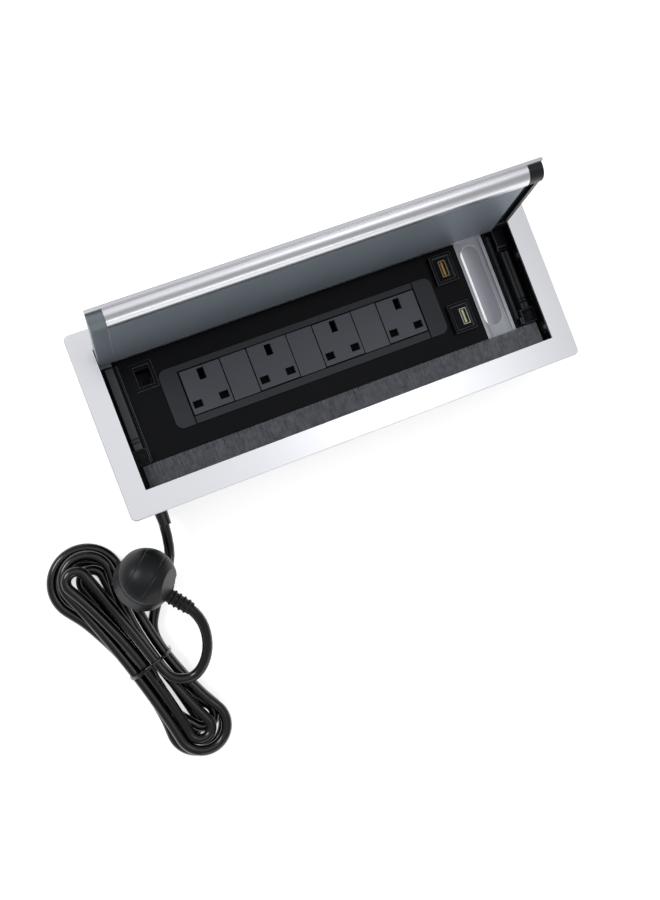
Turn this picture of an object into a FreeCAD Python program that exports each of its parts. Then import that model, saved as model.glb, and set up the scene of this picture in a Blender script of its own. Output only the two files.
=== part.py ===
import FreeCAD, Part
import math
import os

# Desk socket box. Millimetres, +Z up, the lid open as photographed.
# Origin: the middle of the underside of the box, below the middle of the frame.
# X runs along the box, -Y is the front edge with the brush, +Y is the hinge side.

V = FreeCAD.Vector
os.makedirs("parts", exist_ok=True)

# General fits
SEAT_GAP = 0.3
SLIDE_GAP = 0.3
PIN_CLEARANCE = 0.05

# Bezel frame
FRAME_LENGTH = 392.0
FRAME_DEPTH = 152.0
FRAME_THICKNESS = 3.0
FRAME_CORNER_RADIUS = 4.5
FRAME_EDGE_CHAMFER = 0.5
SIDE_BAR = 18.0
FRAME_REBATE = 0.5
FRONT_BAR = 20.0
REAR_BAR = 16.5
TOP_HEIGHT = 70.0

# Box body and its bottom cover
SIDE_STRIP = 6.0
BODY_WALL = 2.5
BODY_CORNER_RADIUS = 5.0
COVER_THICKNESS = 3.0
POST_LENGTH = 10.0
POST_HEIGHT = 4.0
FRAME_BOSS_RADIUS = 2.8
FRAME_BOSS_HEIGHT = 6.0
SCREW_RADIUS = 1.4
SCREW_HEAD_RADIUS = 2.6
SCREW_HEAD_HEIGHT = 1.8
COVER_POST_SIZE = 9.0
COVER_POST_HEIGHT = 15.0
FIXING_HOLE_RADIUS = 2.25
FIXING_HOLE_HEIGHT = 30.0
FIXING_HOLE_SPACING = 70.0

# Deck
DECK_DEPTH = 22.0
DECK_THICKNESS = 2.5
LEDGE_WIDTH = 5.0
LEDGE_HEIGHT = 5.0
RIDGE_INSET = 12.2
RIDGE_WIDTH = 1.4
RIDGE_HEIGHT = 2.0
RIDGE_FRONT_INSET = 26.5
RIDGE_REAR_INSET = 15.5

# Socket strip
SOCKET_COUNT = 4
STRIP_LEFT_INSET = 40.9
STRIP_RIGHT_INSET = 74.3
LINE_PIN_Y = -5.4
PIN_SPACING = 22.23
TILE_WIDTH = 35.0
TILE_DEPTH = 36.8
TILE_FRONT = -13.2
TILE_JOINT = 0.5
TILE_THICKNESS = 4.6
STRIP_RISE = 1.0
SURROUND_PLATE = 1.2
STRIP_LEFT_BORDER = 16.0
STRIP_RIGHT_BORDER = 17.0
STRIP_FRONT_BORDER = 7.0
STRIP_REAR_BORDER = 6.0
STRIP_CORNER_RADIUS = 6.5
SKIRT_INSET = 2.5
SKIRT_WALL = 1.6
SKIRT_HEIGHT = 8.0
BORDER_GROOVE = 0.7
EARTH_SLOT_X = 5.0
EARTH_SLOT_Y = 8.7
LINE_SLOT_X = 7.0
LINE_SLOT_Y = 5.2

# Inside the socket strip
BASE_HEIGHT = 27.0
BASE_MARGIN = 2.2
BASE_FLOOR = 2.0
SHUTTER_THICKNESS = 2.4
SHUTTER_HALF_WIDTH = 15.5
SHUTTER_DEPTH = 7.0
SHUTTER_TRAVEL = 6.5
CLIP_SHEET = 0.8
CLIP_HALF_GAP = 2.2
CLIP_HEIGHT = 13.0
LINE_CLIP_LENGTH = 6.0
EARTH_CLIP_LENGTH = 8.0
BAR_HEIGHT = 5.0
BAR_CLIP_STEP = 2.0
SPRING_WIRE = 0.7
SPRING_SPAN = 6.0
SPRING_LEG = 7.0

# USB modules and their charger board
USB_INSET = 60.6
USB_Y = (31.0, -12.2)
USB_PORT_OFFSET_X = (0.5, 2.8)
USB_MODULE_X = 19.5
USB_MODULE_Y = 25.0
USB_RISE = 5.0
USB_FACE_RECESS = 1.5
USB_FACE_RIM = 2.6
USB_FLANGE = 1.2
USB_BODY_DEPTH = 15.0
USB_SHELL_X = 5.9
USB_SHELL_Y = 13.6
USB_SHELL_WALL = 0.4
USB_SHELL_LENGTH = 14.0
USB_TONGUE_X = 1.8
USB_TONGUE_Y = 11.4
USB_TONGUE_RECESS = 1.0
BOARD_THICKNESS = 1.6
BOARD_MARGIN = 3.0
BOARD_END = 9.0
TRANSFORMER_WIDTH = 12.0
TRANSFORMER_DEPTH = 16.0
TRANSFORMER_HEIGHT = 12.0
CAPACITOR_RADIUS = 4.0
CAPACITOR_HEIGHT = 11.0
CHOKE_RADIUS = 3.2
CHOKE_HEIGHT = 8.0

# Network port
NETWORK_INSET = 30.8
NETWORK_Y = 30.2
NETWORK_BEZEL_X = 18.6
NETWORK_BEZEL_Y = 22.6
NETWORK_OPENING_X = 12.6
NETWORK_OPENING_Y = 16.4
NETWORK_RISE = 1.0
NETWORK_BODY_HEIGHT = 17.0
NETWORK_BODY_WALL = 1.5
JACK_X = 11.8
JACK_Y = 7.6
JACK_LATCH_X = 6.2
JACK_LATCH_Y = 4.2
JACK_TOP_DROP = 2.6
JACK_DEPTH = 12.0
CONTACT_COUNT = 8
CONTACT_PITCH = 1.02
CONTACT_WIDTH = 0.4

# Cable pass-through
CHUTE_INSET = 30.9
CHUTE_WIDTH = 21.2
CHUTE_FRONT_INSET = 17.5
CHUTE_REAR_INSET = 11.5
CHUTE_WALL = 1.4
CHUTE_RISE = 0.8
CHUTE_FLANGE = 1.0
CHUTE_LEDGE_DROP = 5.0
CHUTE_LEDGE_THICKNESS = 2.0
CHUTE_SLOT_WIDTH = 16.6
CHUTE_SLOT_FRONT_INSET = 11.0
CHUTE_SLOT_REAR_INSET = 4.4

# Brush strip
BRUSH_LEFT_INSET = 4.5
BRUSH_RIGHT_INSET = 1.0
BRUSH_REACH = 18.8
BRUSH_DROP = 16.0
BRUSH_THICKNESS = 2.0
BRUSH_RAIL_HEIGHT = 7.0
BRUSH_RAIL_DEPTH = 5.0

# Side channels
RAIL_INSET = 10.0
RAIL_WIDTH = 7.0
RAIL_TOP_DROP = 13.0
RAIL_FRONT_INSET = 32.0
RAIL_REAR_INSET_LEFT = 16.5
RAIL_REAR_INSET_RIGHT = 32.5
RAIL_NOTCH = 1.2
STOP_INSET = 12.0
STOP_WIDTH = 12.0
STOP_LENGTH = 12.3
STOP_TOP_DROP = 14.0
BUFFER_RADIUS = 2.5
REAR_BLOCK_INSET = 8.0
REAR_BLOCK_DROP = 15.0
BLOCK_JOINT = 2.0

# Lid, drawn closed and then swung open
LID_OPEN_ANGLE = 96.0
LID_THICKNESS = 12.0
LID_SIDE_GAP = 0.7
LID_FRONT_GAP = 4.0
LID_REAR_GAP = 1.5
LID_PLATE = 3.0
LID_EDGE_CHAMFER = 0.6
LID_REAR_RADIUS = 3.5
COVE_START = 3.5
COVE_END = 13.0
COVE_DROP = 13.2
LIP_WIDTH = 2.6
REAR_WEB = 4.0
INNER_PANEL = 1.5
CAP_WIDTH = 12.0
CAP_POCKET_DEPTH = 4.0
CAP_POCKET_WALL = 3.6
HINGE_DROP = 5.6
HINGE_SETBACK = 6.5
HINGE_PIN_RADIUS = 1.25
HINGE_PIN_LENGTH = 13.0
BUSH_RADIUS = 2.4
BRACKET_WIDTH = 4.8
BRACKET_DEPTH = 15.0
BRACKET_HEIGHT = 10.0

# Mains cord, its gland, hank and plug
CORD_DIAMETER = 8.4
GLAND_INSET = 6.0
GLAND_HEIGHT = 27.5
GLAND_NUT_RADIUS = 8.5
GLAND_NUT_LENGTH = 5.0
GLAND_SLEEVE = 1.2
RELIEF_LENGTH = 22.0
GLAND_RELIEF_ROOT = 6.0
GLAND_RELIEF_TIP = 4.9
RELIEF_ROOT_RADIUS = 6.6
RELIEF_TIP_RADIUS = 5.2
CORD_TAIL = 5.0
HANK_WAIST_X = -224.0
HANK_WAIST_Y = -187.0
HANK_TURN = -73.9
HANK_STEP = 9.2
HANK_LAYER = 8.9
HANK_UPPER_ALONG = 83.0
HANK_LOWER_ALONG = 63.5
HANK_UPPER_RADIUS = 27.5
HANK_LOWER_RADIUS = 21.5
HANK_WAIST_HALF = 16.3
HANK_INSETS = (0.0, 0.5, 1.0, 1.5, 1.0, 0.5)
HANK_LAYERS = 4
# How each loop's end departs from the largest one, in steps of the cord's spacing: how far
# it falls short along the hank, how far it lies to the side, and how much smaller it is
HANK_LOBES = (
    (0.0, 0.2, 0.0), (0.3, -0.4, 0.45), (0.0, 0.2, 1.05), (0.2, 0.3, 1.55), (0.4, 0.3, 0.45),
    (0.0, 0.1, 0.0), (-0.1, 0.3, 0.05), (-0.2, 0.3, 0.9), (-0.1, 0.3, 1.05), (-0.6, -0.3, 1.65))
TIE_THICKNESS = 1.6
TIE_WIDTH = 4.0
PLUG_RADIUS = 23.2
PLUG_FACET_TILT = 32.0
PLUG_FACET_DEPTH = 4.2
PLUG_BASE_HEIGHT = 13.0
PLUG_HEIGHT = 35.0
PLUG_SEAM = 0.6
PLUG_SEAM_DEPTH = 2.0
PLUG_RIM_HEIGHT = 4.0
PLUG_CENTRE = (-206.7, -122.2, 45.6)
PLUG_TILT = 30.0
PLUG_TILT_BEARING = -152.0
PLUG_CORD_BEARING = -50.0
PLUG_RELIEF_HEIGHT = 9.7
PLUG_RELIEF_LENGTH = 20.0
FUSE_RADIUS = 3.15
FUSE_LENGTH = 25.4
PLUG_EARTH_Y = 13.0
PLUG_LINE_Y = -9.2
PIN_THICKNESS = 4.0
EARTH_PIN_WIDTH = 8.0
EARTH_PIN_LENGTH = 22.7
LINE_PIN_WIDTH = 6.35
LINE_PIN_LENGTH = 17.7

# Routes of the cord's free stretches, chosen by hand
SUPPLY_ROUTE = (
    (-172.0, -103.0, 27.5), (-187.5, -128.0, 5.5), (-203.0, -146.0, 4.2))
PLUG_ROUTE = (
    (-208.5, -204.0, 32.0), (-190.5, -208.0, 33.5), (-174.5, -190.5, 38.5))
SUPPLY_END_RUN = 18.0
PLUG_END_RUN = 7.0
PLUG_START_RUN = 10.0
PLUG_CORD_SEAT = 6.0

# Derived places
OPENING_FRONT = -FRAME_DEPTH / 2 + FRONT_BAR
OPENING_REAR = FRAME_DEPTH / 2 - REAR_BAR
OPENING_HALF = FRAME_LENGTH / 2 - SIDE_BAR
UNDERSIDE = TOP_HEIGHT - FRAME_THICKNESS
BODY_TOP = UNDERSIDE + FRAME_REBATE
INNER_HALF = OPENING_HALF + SIDE_STRIP
INNER_FRONT = OPENING_FRONT - SIDE_STRIP
INNER_REAR = OPENING_REAR + SIDE_STRIP
DECK_TOP = TOP_HEIGHT - DECK_DEPTH
DECK_LOW = DECK_TOP - DECK_THICKNESS
STRIP_LEFT = -OPENING_HALF + STRIP_LEFT_INSET
STRIP_RIGHT = OPENING_HALF - STRIP_RIGHT_INSET
TILES_LEFT = STRIP_LEFT + STRIP_LEFT_BORDER
TILES_RIGHT = STRIP_RIGHT - STRIP_RIGHT_BORDER
SOCKET_PITCH = (TILES_RIGHT - TILES_LEFT - TILE_WIDTH) / (SOCKET_COUNT - 1)
BLANK_WIDTH = SOCKET_PITCH - TILE_WIDTH
SOCKET_XS = [TILES_LEFT + TILE_WIDTH / 2 + i * SOCKET_PITCH for i in range(SOCKET_COUNT)]
BLANK_XS = [x + SOCKET_PITCH / 2 for x in SOCKET_XS[:-1]]
STRIP_TOP = DECK_TOP + STRIP_RISE
TILE_LOW = STRIP_TOP - TILE_THICKNESS
TILE_REAR = TILE_FRONT + TILE_DEPTH
STRIP_FRONT = TILE_FRONT - STRIP_FRONT_BORDER
STRIP_REAR = TILE_REAR + STRIP_REAR_BORDER
EARTH_PIN_Y = LINE_PIN_Y + PIN_SPACING
BASE_LOW = TILE_LOW - BASE_HEIGHT
SHUTTER_FLOOR = TILE_LOW - SHUTTER_THICKNESS - 2 * SLIDE_GAP
CLIP_LOW = BASE_LOW + BASE_FLOOR + SLIDE_GAP + BAR_HEIGHT + BAR_CLIP_STEP
LID_HALF = OPENING_HALF - LID_SIDE_GAP
LID_FRONT = OPENING_FRONT + LID_FRONT_GAP
LID_REAR = OPENING_REAR - LID_REAR_GAP
LID_UNDER = TOP_HEIGHT - LID_THICKNESS
HINGE_Y = OPENING_REAR - HINGE_SETBACK
HINGE_Z = TOP_HEIGHT - HINGE_DROP
RAIL_TOP = TOP_HEIGHT - RAIL_TOP_DROP
RAIL_INNER_X = OPENING_HALF - RAIL_INSET
RAIL_FRONT = OPENING_FRONT + RAIL_FRONT_INSET
RAIL_REAR_LEFT = OPENING_REAR - RAIL_REAR_INSET_LEFT
RAIL_REAR_RIGHT = OPENING_REAR - RAIL_REAR_INSET_RIGHT
REAR_BLOCK_END = OPENING_REAR - REAR_BLOCK_INSET
STOP_INNER_X = OPENING_HALF - STOP_INSET
RIDGE_X = OPENING_HALF - RIDGE_INSET
RIDGE_FRONT = OPENING_FRONT + RIDGE_FRONT_INSET
RIDGE_REAR = OPENING_REAR - RIDGE_REAR_INSET
USB_X = OPENING_HALF - USB_INSET
NETWORK_X = -OPENING_HALF + NETWORK_INSET
CHUTE_X = OPENING_HALF - CHUTE_INSET
CHUTE_FRONT = OPENING_FRONT + CHUTE_FRONT_INSET
CHUTE_REAR = OPENING_REAR - CHUTE_REAR_INSET
CHUTE_SLOT_FRONT = CHUTE_FRONT + CHUTE_SLOT_FRONT_INSET
CHUTE_SLOT_REAR = CHUTE_REAR - CHUTE_SLOT_REAR_INSET
BRUSH_LEFT = -OPENING_HALF + BRUSH_LEFT_INSET
BRUSH_RIGHT = OPENING_HALF - BRUSH_RIGHT_INSET
BRUSH_REAR = OPENING_FRONT + BRUSH_REACH
GLAND_X = -OPENING_HALF + GLAND_INSET
BODY_FRONT = INNER_FRONT - BODY_WALL
CORD_RADIUS = CORD_DIAMETER / 2
FRAME_SCREWS = (
    (-OPENING_HALF - SIDE_STRIP / 2, -45.0), (-OPENING_HALF - SIDE_STRIP / 2, 20.0),
    (OPENING_HALF + SIDE_STRIP / 2, -45.0), (OPENING_HALF + SIDE_STRIP / 2, 20.0),
    (-90.0, OPENING_REAR + SIDE_STRIP / 2), (90.0, OPENING_REAR + SIDE_STRIP / 2),
    (-90.0, OPENING_FRONT - SIDE_STRIP / 2), (90.0, OPENING_FRONT - SIDE_STRIP / 2))
COVER_SCREWS = [
    (sx * (INNER_HALF - COVER_POST_SIZE / 2), y)
    for sx in (-1, 1)
    for y in (INNER_FRONT + COVER_POST_SIZE / 2, INNER_REAR - COVER_POST_SIZE / 2)]


def block(x0, x1, y0, y1, z0, z1):
    """A box from its lowest corner to its highest."""
    return Part.makeBox(x1 - x0, y1 - y0, z1 - z0, V(x0, y0, z0))


def rounded_block(x0, x1, y0, y1, z0, z1, radius):
    """A box with rounded upright edges."""
    shape = block(x0, x1, y0, y1, z0, z1)
    limit = 0.49 * min(x1 - x0, y1 - y0)
    upright = [e for e in shape.Edges if abs(e.BoundBox.ZLength - (z1 - z0)) < 1e-6]
    return shape.makeFillet(min(radius, limit), upright)


def post(x, y, z0, z1, radius):
    """An upright cylinder."""
    return Part.makeCylinder(radius, z1 - z0, V(x, y, z0))


def prism_x(points, x0, x1):
    """A solid of constant section along X; points are (y, z)."""
    loop = [V(x0, y, z) for y, z in points]
    loop.append(loop[0])
    return Part.Face(Part.makePolygon(loop)).extrude(V(x1 - x0, 0, 0))


def joined(shapes):
    """One solid of several that overlap or touch."""
    result = shapes[0].multiFuse(shapes[1:]) if len(shapes) > 1 else shapes[0]
    return result.removeSplitter()


def group(shapes):
    """Separate solids kept in one file."""
    return Part.makeCompound(shapes)


def save(name, shape):
    """Writes one sub-part."""
    shape.exportStep("parts/%s.step" % name)


def screw(x, y, z, up, length):
    """A pan-head screw with its head's bearing face at z, pointing up or down."""
    head = Part.makeCylinder(SCREW_HEAD_RADIUS, SCREW_HEAD_HEIGHT, V(x, y, z), V(0, 0, -up))
    shank = Part.makeCylinder(SCREW_RADIUS, length, V(x, y, z), V(0, 0, up))
    slot = block(x - SCREW_HEAD_RADIUS, x + SCREW_HEAD_RADIUS, y - 0.4, y + 0.4,
                 z - up * SCREW_HEAD_HEIGHT - 0.7, z - up * SCREW_HEAD_HEIGHT + 0.7)
    return head.fuse(shank).cut(slot)


# Frame, body and bottom cover

def body_outline(grow, z0, z1):
    """The body's outer outline with rounded corners, grown by a gap."""
    reach = BODY_WALL + grow
    return rounded_block(-INNER_HALF - reach, INNER_HALF + reach, INNER_FRONT - reach,
                         INNER_REAR + reach, z0, z1, BODY_CORNER_RADIUS + grow)


def bezel_frame():
    """The frame; a shallow rebate below it takes the body, and its rim lies on the desk."""
    half_x = FRAME_LENGTH / 2
    half_y = FRAME_DEPTH / 2
    plate = rounded_block(-half_x, half_x, -half_y, half_y, UNDERSIDE, TOP_HEIGHT,
                          FRAME_CORNER_RADIUS)
    rim = [e for e in plate.Edges if e.BoundBox.ZMin > TOP_HEIGHT - 1e-6]
    plate = plate.makeChamfer(FRAME_EDGE_CHAMFER, rim)
    plate = plate.cut(block(-OPENING_HALF, OPENING_HALF, OPENING_FRONT, OPENING_REAR,
                            UNDERSIDE - 1, TOP_HEIGHT + 1))
    plate = plate.cut(body_outline(SEAT_GAP, UNDERSIDE - 1, BODY_TOP))
    bosses = [post(x, y, UNDERSIDE - FRAME_BOSS_HEIGHT, BODY_TOP, FRAME_BOSS_RADIUS)
              for x, y in FRAME_SCREWS]
    bores = [post(x, y, UNDERSIDE - FRAME_BOSS_HEIGHT, UNDERSIDE + 1, SCREW_RADIUS)
             for x, y in FRAME_SCREWS]
    return joined([plate] + bosses).cut(group(bores))


def frame_post(x, y):
    """A block on the nearest wall that carries one boss of the frame."""
    top = UNDERSIDE - FRAME_BOSS_HEIGHT
    if abs(x) > OPENING_HALF:
        side = 1 if x > 0 else -1
        x0, x1 = sorted((side * OPENING_HALF, side * (INNER_HALF + 0.5)))
        return block(x0, x1, y - POST_LENGTH / 2, y + POST_LENGTH / 2, top - POST_HEIGHT, top)
    y0, y1 = sorted((OPENING_REAR, INNER_REAR + 0.5)) if y > 0 else (INNER_FRONT - 0.5, OPENING_FRONT)
    return block(x - POST_LENGTH / 2, x + POST_LENGTH / 2, y0, y1, top - POST_HEIGHT, top)


def box_body():
    outer = body_outline(0, COVER_THICKNESS, BODY_TOP)
    inner = block(-INNER_HALF, INNER_HALF, INNER_FRONT, INNER_REAR, 0, TOP_HEIGHT)
    walls = outer.cut(inner)
    ledge = block(-INNER_HALF - 0.5, INNER_HALF + 0.5, INNER_FRONT - 0.5, INNER_REAR + 0.5,
                  DECK_LOW - LEDGE_HEIGHT, DECK_LOW)
    ledge = ledge.cut(block(-INNER_HALF + LEDGE_WIDTH, INNER_HALF - LEDGE_WIDTH,
                            INNER_FRONT + LEDGE_WIDTH, INNER_REAR - LEDGE_WIDTH, 0, TOP_HEIGHT))
    posts = [frame_post(x, y) for x, y in FRAME_SCREWS]
    half = COVER_POST_SIZE / 2 + 0.5
    feet = [block(x - half, x + half, y - half, y + half, COVER_THICKNESS,
                  COVER_THICKNESS + COVER_POST_HEIGHT) for x, y in COVER_SCREWS]
    body = joined([walls, ledge] + posts + feet)
    holes = [post(x, y, DECK_TOP + 1, UNDERSIDE, SCREW_RADIUS + PIN_CLEARANCE)
             for x, y in FRAME_SCREWS]
    holes += [post(x, y, COVER_THICKNESS, COVER_THICKNESS + COVER_POST_HEIGHT - 2,
                   SCREW_RADIUS + PIN_CLEARANCE) for x, y in COVER_SCREWS]
    for side in (-1, 1):
        for step in (-0.5, 0.5):
            start = V(side * (INNER_HALF - 2), step * FIXING_HOLE_SPACING, FIXING_HOLE_HEIGHT)
            holes.append(Part.makeCylinder(FIXING_HOLE_RADIUS, BODY_WALL + 4, start,
                                           V(side, 0, 0)))
    holes.append(Part.makeCylinder(CORD_RADIUS + PIN_CLEARANCE + GLAND_SLEEVE, BODY_WALL + 4,
                                   V(GLAND_X, BODY_FRONT - 2, GLAND_HEIGHT), V(0, 1, 0)))
    return body.cut(group(holes))


def bottom_cover():
    plate = body_outline(0, 0, COVER_THICKNESS)
    cuts = [chute_block(SEAT_GAP, -1, COVER_THICKNESS + 1)]
    for x, y in COVER_SCREWS:
        cuts.append(post(x, y, -1, COVER_THICKNESS + 1, SCREW_RADIUS + PIN_CLEARANCE))
        cuts.append(post(x, y, -1, SCREW_HEAD_HEIGHT, SCREW_HEAD_RADIUS + SEAT_GAP))
    return plate.cut(group(cuts))


def frame_screws():
    top = UNDERSIDE - FRAME_BOSS_HEIGHT - POST_HEIGHT
    return group([screw(x, y, top, 1, POST_HEIGHT + FRAME_BOSS_HEIGHT - 0.5)
                  for x, y in FRAME_SCREWS])


def cover_screws():
    length = COVER_THICKNESS - SCREW_HEAD_HEIGHT + COVER_POST_HEIGHT - 4
    return group([screw(x, y, SCREW_HEAD_HEIGHT, 1, length) for x, y in COVER_SCREWS])


# Deck

def chute_block(gap, z0, z1):
    """The outside of the pass-through's sleeve, with a gap round it."""
    half = CHUTE_WIDTH / 2 + CHUTE_WALL + gap
    return block(CHUTE_X - half, CHUTE_X + half, CHUTE_FRONT - CHUTE_WALL - gap,
                 CHUTE_REAR + CHUTE_WALL + gap, z0, z1)


def strip_block(inset, z0, z1):
    """The socket strip's outline, drawn in by an inset."""
    return rounded_block(STRIP_LEFT + inset, STRIP_RIGHT - inset, STRIP_FRONT + inset,
                         STRIP_REAR - inset, z0, z1, max(STRIP_CORNER_RADIUS - inset, 0.5))


def usb_block(index, inset, z0, z1):
    """One USB module's outline, drawn in by an inset."""
    half_x = USB_MODULE_X / 2 - inset
    half_y = USB_MODULE_Y / 2 - inset
    y = USB_Y[index]
    return block(USB_X - half_x, USB_X + half_x, y - half_y, y + half_y, z0, z1)


def network_block(inset, z0, z1):
    """The network port's outline, drawn in by an inset."""
    half_x = NETWORK_BEZEL_X / 2 - inset
    half_y = NETWORK_BEZEL_Y / 2 - inset
    return block(NETWORK_X - half_x, NETWORK_X + half_x,
                 NETWORK_Y - half_y, NETWORK_Y + half_y, z0, z1)


def deck_plate():
    plate = block(-INNER_HALF + SEAT_GAP, INNER_HALF - SEAT_GAP, INNER_FRONT + SEAT_GAP,
                  INNER_REAR - SEAT_GAP, DECK_LOW, DECK_TOP)
    ridges = []
    for side in (-1, 1):
        x0, x1 = sorted((side * RIDGE_X, side * (RIDGE_X - RIDGE_WIDTH)))
        ridges.append(block(x0, x1, RIDGE_FRONT, RIDGE_REAR, DECK_LOW, DECK_TOP + RIDGE_HEIGHT))
    cuts = [strip_block(SKIRT_INSET - SEAT_GAP, DECK_LOW - 1, DECK_TOP + 1),
            network_block(NETWORK_BODY_WALL - SEAT_GAP, DECK_LOW - 1, DECK_TOP + 1),
            chute_block(SEAT_GAP, DECK_LOW - 1, DECK_TOP + 1)]
    cuts += [usb_block(i, USB_FLANGE - SEAT_GAP, DECK_LOW - 1, DECK_TOP + 1)
             for i in range(len(USB_Y))]
    return joined([plate] + ridges).cut(group(cuts))


# Socket strip

def strip_surround():
    plate = strip_block(0, DECK_TOP, DECK_TOP + SURROUND_PLATE)
    skirt = strip_block(SKIRT_INSET, DECK_TOP - SKIRT_HEIGHT, DECK_TOP + 0.5)
    skirt = skirt.cut(strip_block(SKIRT_INSET + SKIRT_WALL, DECK_TOP - SKIRT_HEIGHT - 1, DECK_TOP))
    window = block(TILES_LEFT - TILE_JOINT, TILES_RIGHT + TILE_JOINT,
                   TILE_FRONT - TILE_JOINT, TILE_REAR + TILE_JOINT, DECK_LOW, TOP_HEIGHT)
    low = DECK_TOP + SURROUND_PLATE - BORDER_GROOVE
    left_groove = block(TILES_LEFT - TILE_JOINT, TILES_LEFT - TILE_JOINT + BORDER_GROOVE,
                        STRIP_FRONT - 1, TILE_FRONT, low, TOP_HEIGHT)
    right_groove = block(TILES_RIGHT + TILE_JOINT - BORDER_GROOVE, TILES_RIGHT + TILE_JOINT,
                         STRIP_FRONT - 1, STRIP_REAR + 1, low, TOP_HEIGHT)
    return joined([plate, skirt]).cut(group([window, left_groove, right_groove]))


def tile(x, width):
    """A plain tile of the strip, centred at x."""
    half = (width - TILE_JOINT) / 2
    return block(x - half, x + half, TILE_FRONT, TILE_REAR, TILE_LOW, STRIP_TOP)


def slot_cuts(x, z0, z1):
    """The earth, line and neutral openings of one socket."""
    earth = block(x - EARTH_SLOT_X / 2, x + EARTH_SLOT_X / 2,
                  EARTH_PIN_Y - EARTH_SLOT_Y / 2, EARTH_PIN_Y + EARTH_SLOT_Y / 2, z0, z1)
    cuts = [earth]
    for side in (-0.5, 0.5):
        cx = x + side * PIN_SPACING
        cuts.append(block(cx - LINE_SLOT_X / 2, cx + LINE_SLOT_X / 2,
                          LINE_PIN_Y - LINE_SLOT_Y / 2, LINE_PIN_Y + LINE_SLOT_Y / 2, z0, z1))
    return group(cuts)


def socket_face(x):
    return tile(x, TILE_WIDTH).cut(slot_cuts(x, TILE_LOW - 1, STRIP_TOP + 1))


def blank_tile(x):
    return tile(x, BLANK_WIDTH)


def socket_base():
    """The moulded base: wells for the contacts and a shallow pocket for each shutter."""
    base = block(TILES_LEFT, TILES_RIGHT, TILE_FRONT - BASE_MARGIN, TILE_REAR, BASE_LOW, TILE_LOW)
    floor = BASE_LOW + BASE_FLOOR
    reach = CLIP_HALF_GAP + CLIP_SHEET
    slack = SLIDE_GAP + 0.2
    cuts = []
    for y in (LINE_PIN_Y - reach + CLIP_SHEET / 2, LINE_PIN_Y + reach - CLIP_SHEET / 2):
        cuts.append(block(TILES_LEFT + 1, TILES_RIGHT - 1, y - CLIP_SHEET / 2 - slack,
                          y + CLIP_SHEET / 2 + slack, floor, TILE_LOW + 1))
    cuts.append(block(TILES_LEFT + 1, TILES_RIGHT - 1, EARTH_PIN_Y - 1 - slack,
                      EARTH_PIN_Y + 1 + slack, floor, TILE_LOW + 1))
    for x in SOCKET_XS:
        for side in (-0.5, 0.5):
            cx = x + side * PIN_SPACING
            half = LINE_SLOT_X / 2 + 0.5
            cuts.append(block(cx - half, cx + half, LINE_PIN_Y - reach - slack,
                              LINE_PIN_Y + reach + slack, floor, TILE_LOW + 1))
        cuts.append(block(x - reach - slack, x + reach + slack,
                          EARTH_PIN_Y - EARTH_SLOT_Y / 2 - 0.5,
                          EARTH_PIN_Y + EARTH_SLOT_Y / 2 + 0.5, floor, TILE_LOW + 1))
        cuts.append(block(x - SHUTTER_HALF_WIDTH - SLIDE_GAP, x + SHUTTER_HALF_WIDTH + SLIDE_GAP,
                          LINE_PIN_Y - SHUTTER_DEPTH / 2 - SHUTTER_TRAVEL - SLIDE_GAP,
                          LINE_PIN_Y + SHUTTER_DEPTH / 2 + SLIDE_GAP, SHUTTER_FLOOR, TILE_LOW + 1))
        cuts.append(block(x - SPRING_SPAN / 2 - 0.8, x + SPRING_SPAN / 2 + 0.8,
                          LINE_PIN_Y - SPRING_LEG / 2 - 0.8, LINE_PIN_Y + SPRING_LEG / 2 + 0.8,
                          SHUTTER_FLOOR - SPRING_WIRE - 0.4, TILE_LOW + 1))
    return base.cut(group(cuts)).removeSplitter()


def shutter(x):
    """A shutter plate that lies below the line and neutral openings."""
    low = SHUTTER_FLOOR + SLIDE_GAP
    return block(x - SHUTTER_HALF_WIDTH, x + SHUTTER_HALF_WIDTH, LINE_PIN_Y - SHUTTER_DEPTH / 2,
                 LINE_PIN_Y + SHUTTER_DEPTH / 2, low, low + SHUTTER_THICKNESS)


def shutter_springs():
    """Flat hairpin springs, one in a recess below each shutter."""
    shapes = []
    low = SHUTTER_FLOOR - SPRING_WIRE - 0.4
    for x in SOCKET_XS:
        hairpin = block(x - SPRING_SPAN / 2, x + SPRING_SPAN / 2, LINE_PIN_Y - SPRING_LEG / 2,
                        LINE_PIN_Y + SPRING_LEG / 2, low, low + SPRING_WIRE)
        inside = block(x - SPRING_SPAN / 2 + SPRING_WIRE, x + SPRING_SPAN / 2 - SPRING_WIRE,
                       LINE_PIN_Y - SPRING_LEG, LINE_PIN_Y + SPRING_LEG / 2 - SPRING_WIRE,
                       low - 1, low + 2)
        shapes.append(hairpin.cut(inside))
    return group(shapes)


def line_busbar(side):
    """A brass bar with a spring clip for each pin; side -1 is live, 1 is neutral."""
    low = BASE_LOW + BASE_FLOOR
    reach = CLIP_HALF_GAP + CLIP_SHEET
    y0, y1 = sorted((LINE_PIN_Y + side * CLIP_HALF_GAP, LINE_PIN_Y + side * reach))
    shapes = [block(TILES_LEFT + 3, TILES_RIGHT - 3, y0, y1, low, low + BAR_HEIGHT)]
    for x in SOCKET_XS:
        cx = x + side * PIN_SPACING / 2
        x0 = cx - LINE_CLIP_LENGTH / 2
        x1 = cx + LINE_CLIP_LENGTH / 2
        top = CLIP_LOW + CLIP_HEIGHT
        shapes.append(block(x0, x1, y0, y1, low, top))
        far0, far1 = sorted((LINE_PIN_Y - side * CLIP_HALF_GAP, LINE_PIN_Y - side * reach))
        shapes.append(block(x0, x1, far0, far1, CLIP_LOW, top))
        shapes.append(block(x0, x1, LINE_PIN_Y - reach, LINE_PIN_Y + reach,
                            CLIP_LOW, CLIP_LOW + CLIP_SHEET))
    return joined(shapes)


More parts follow.
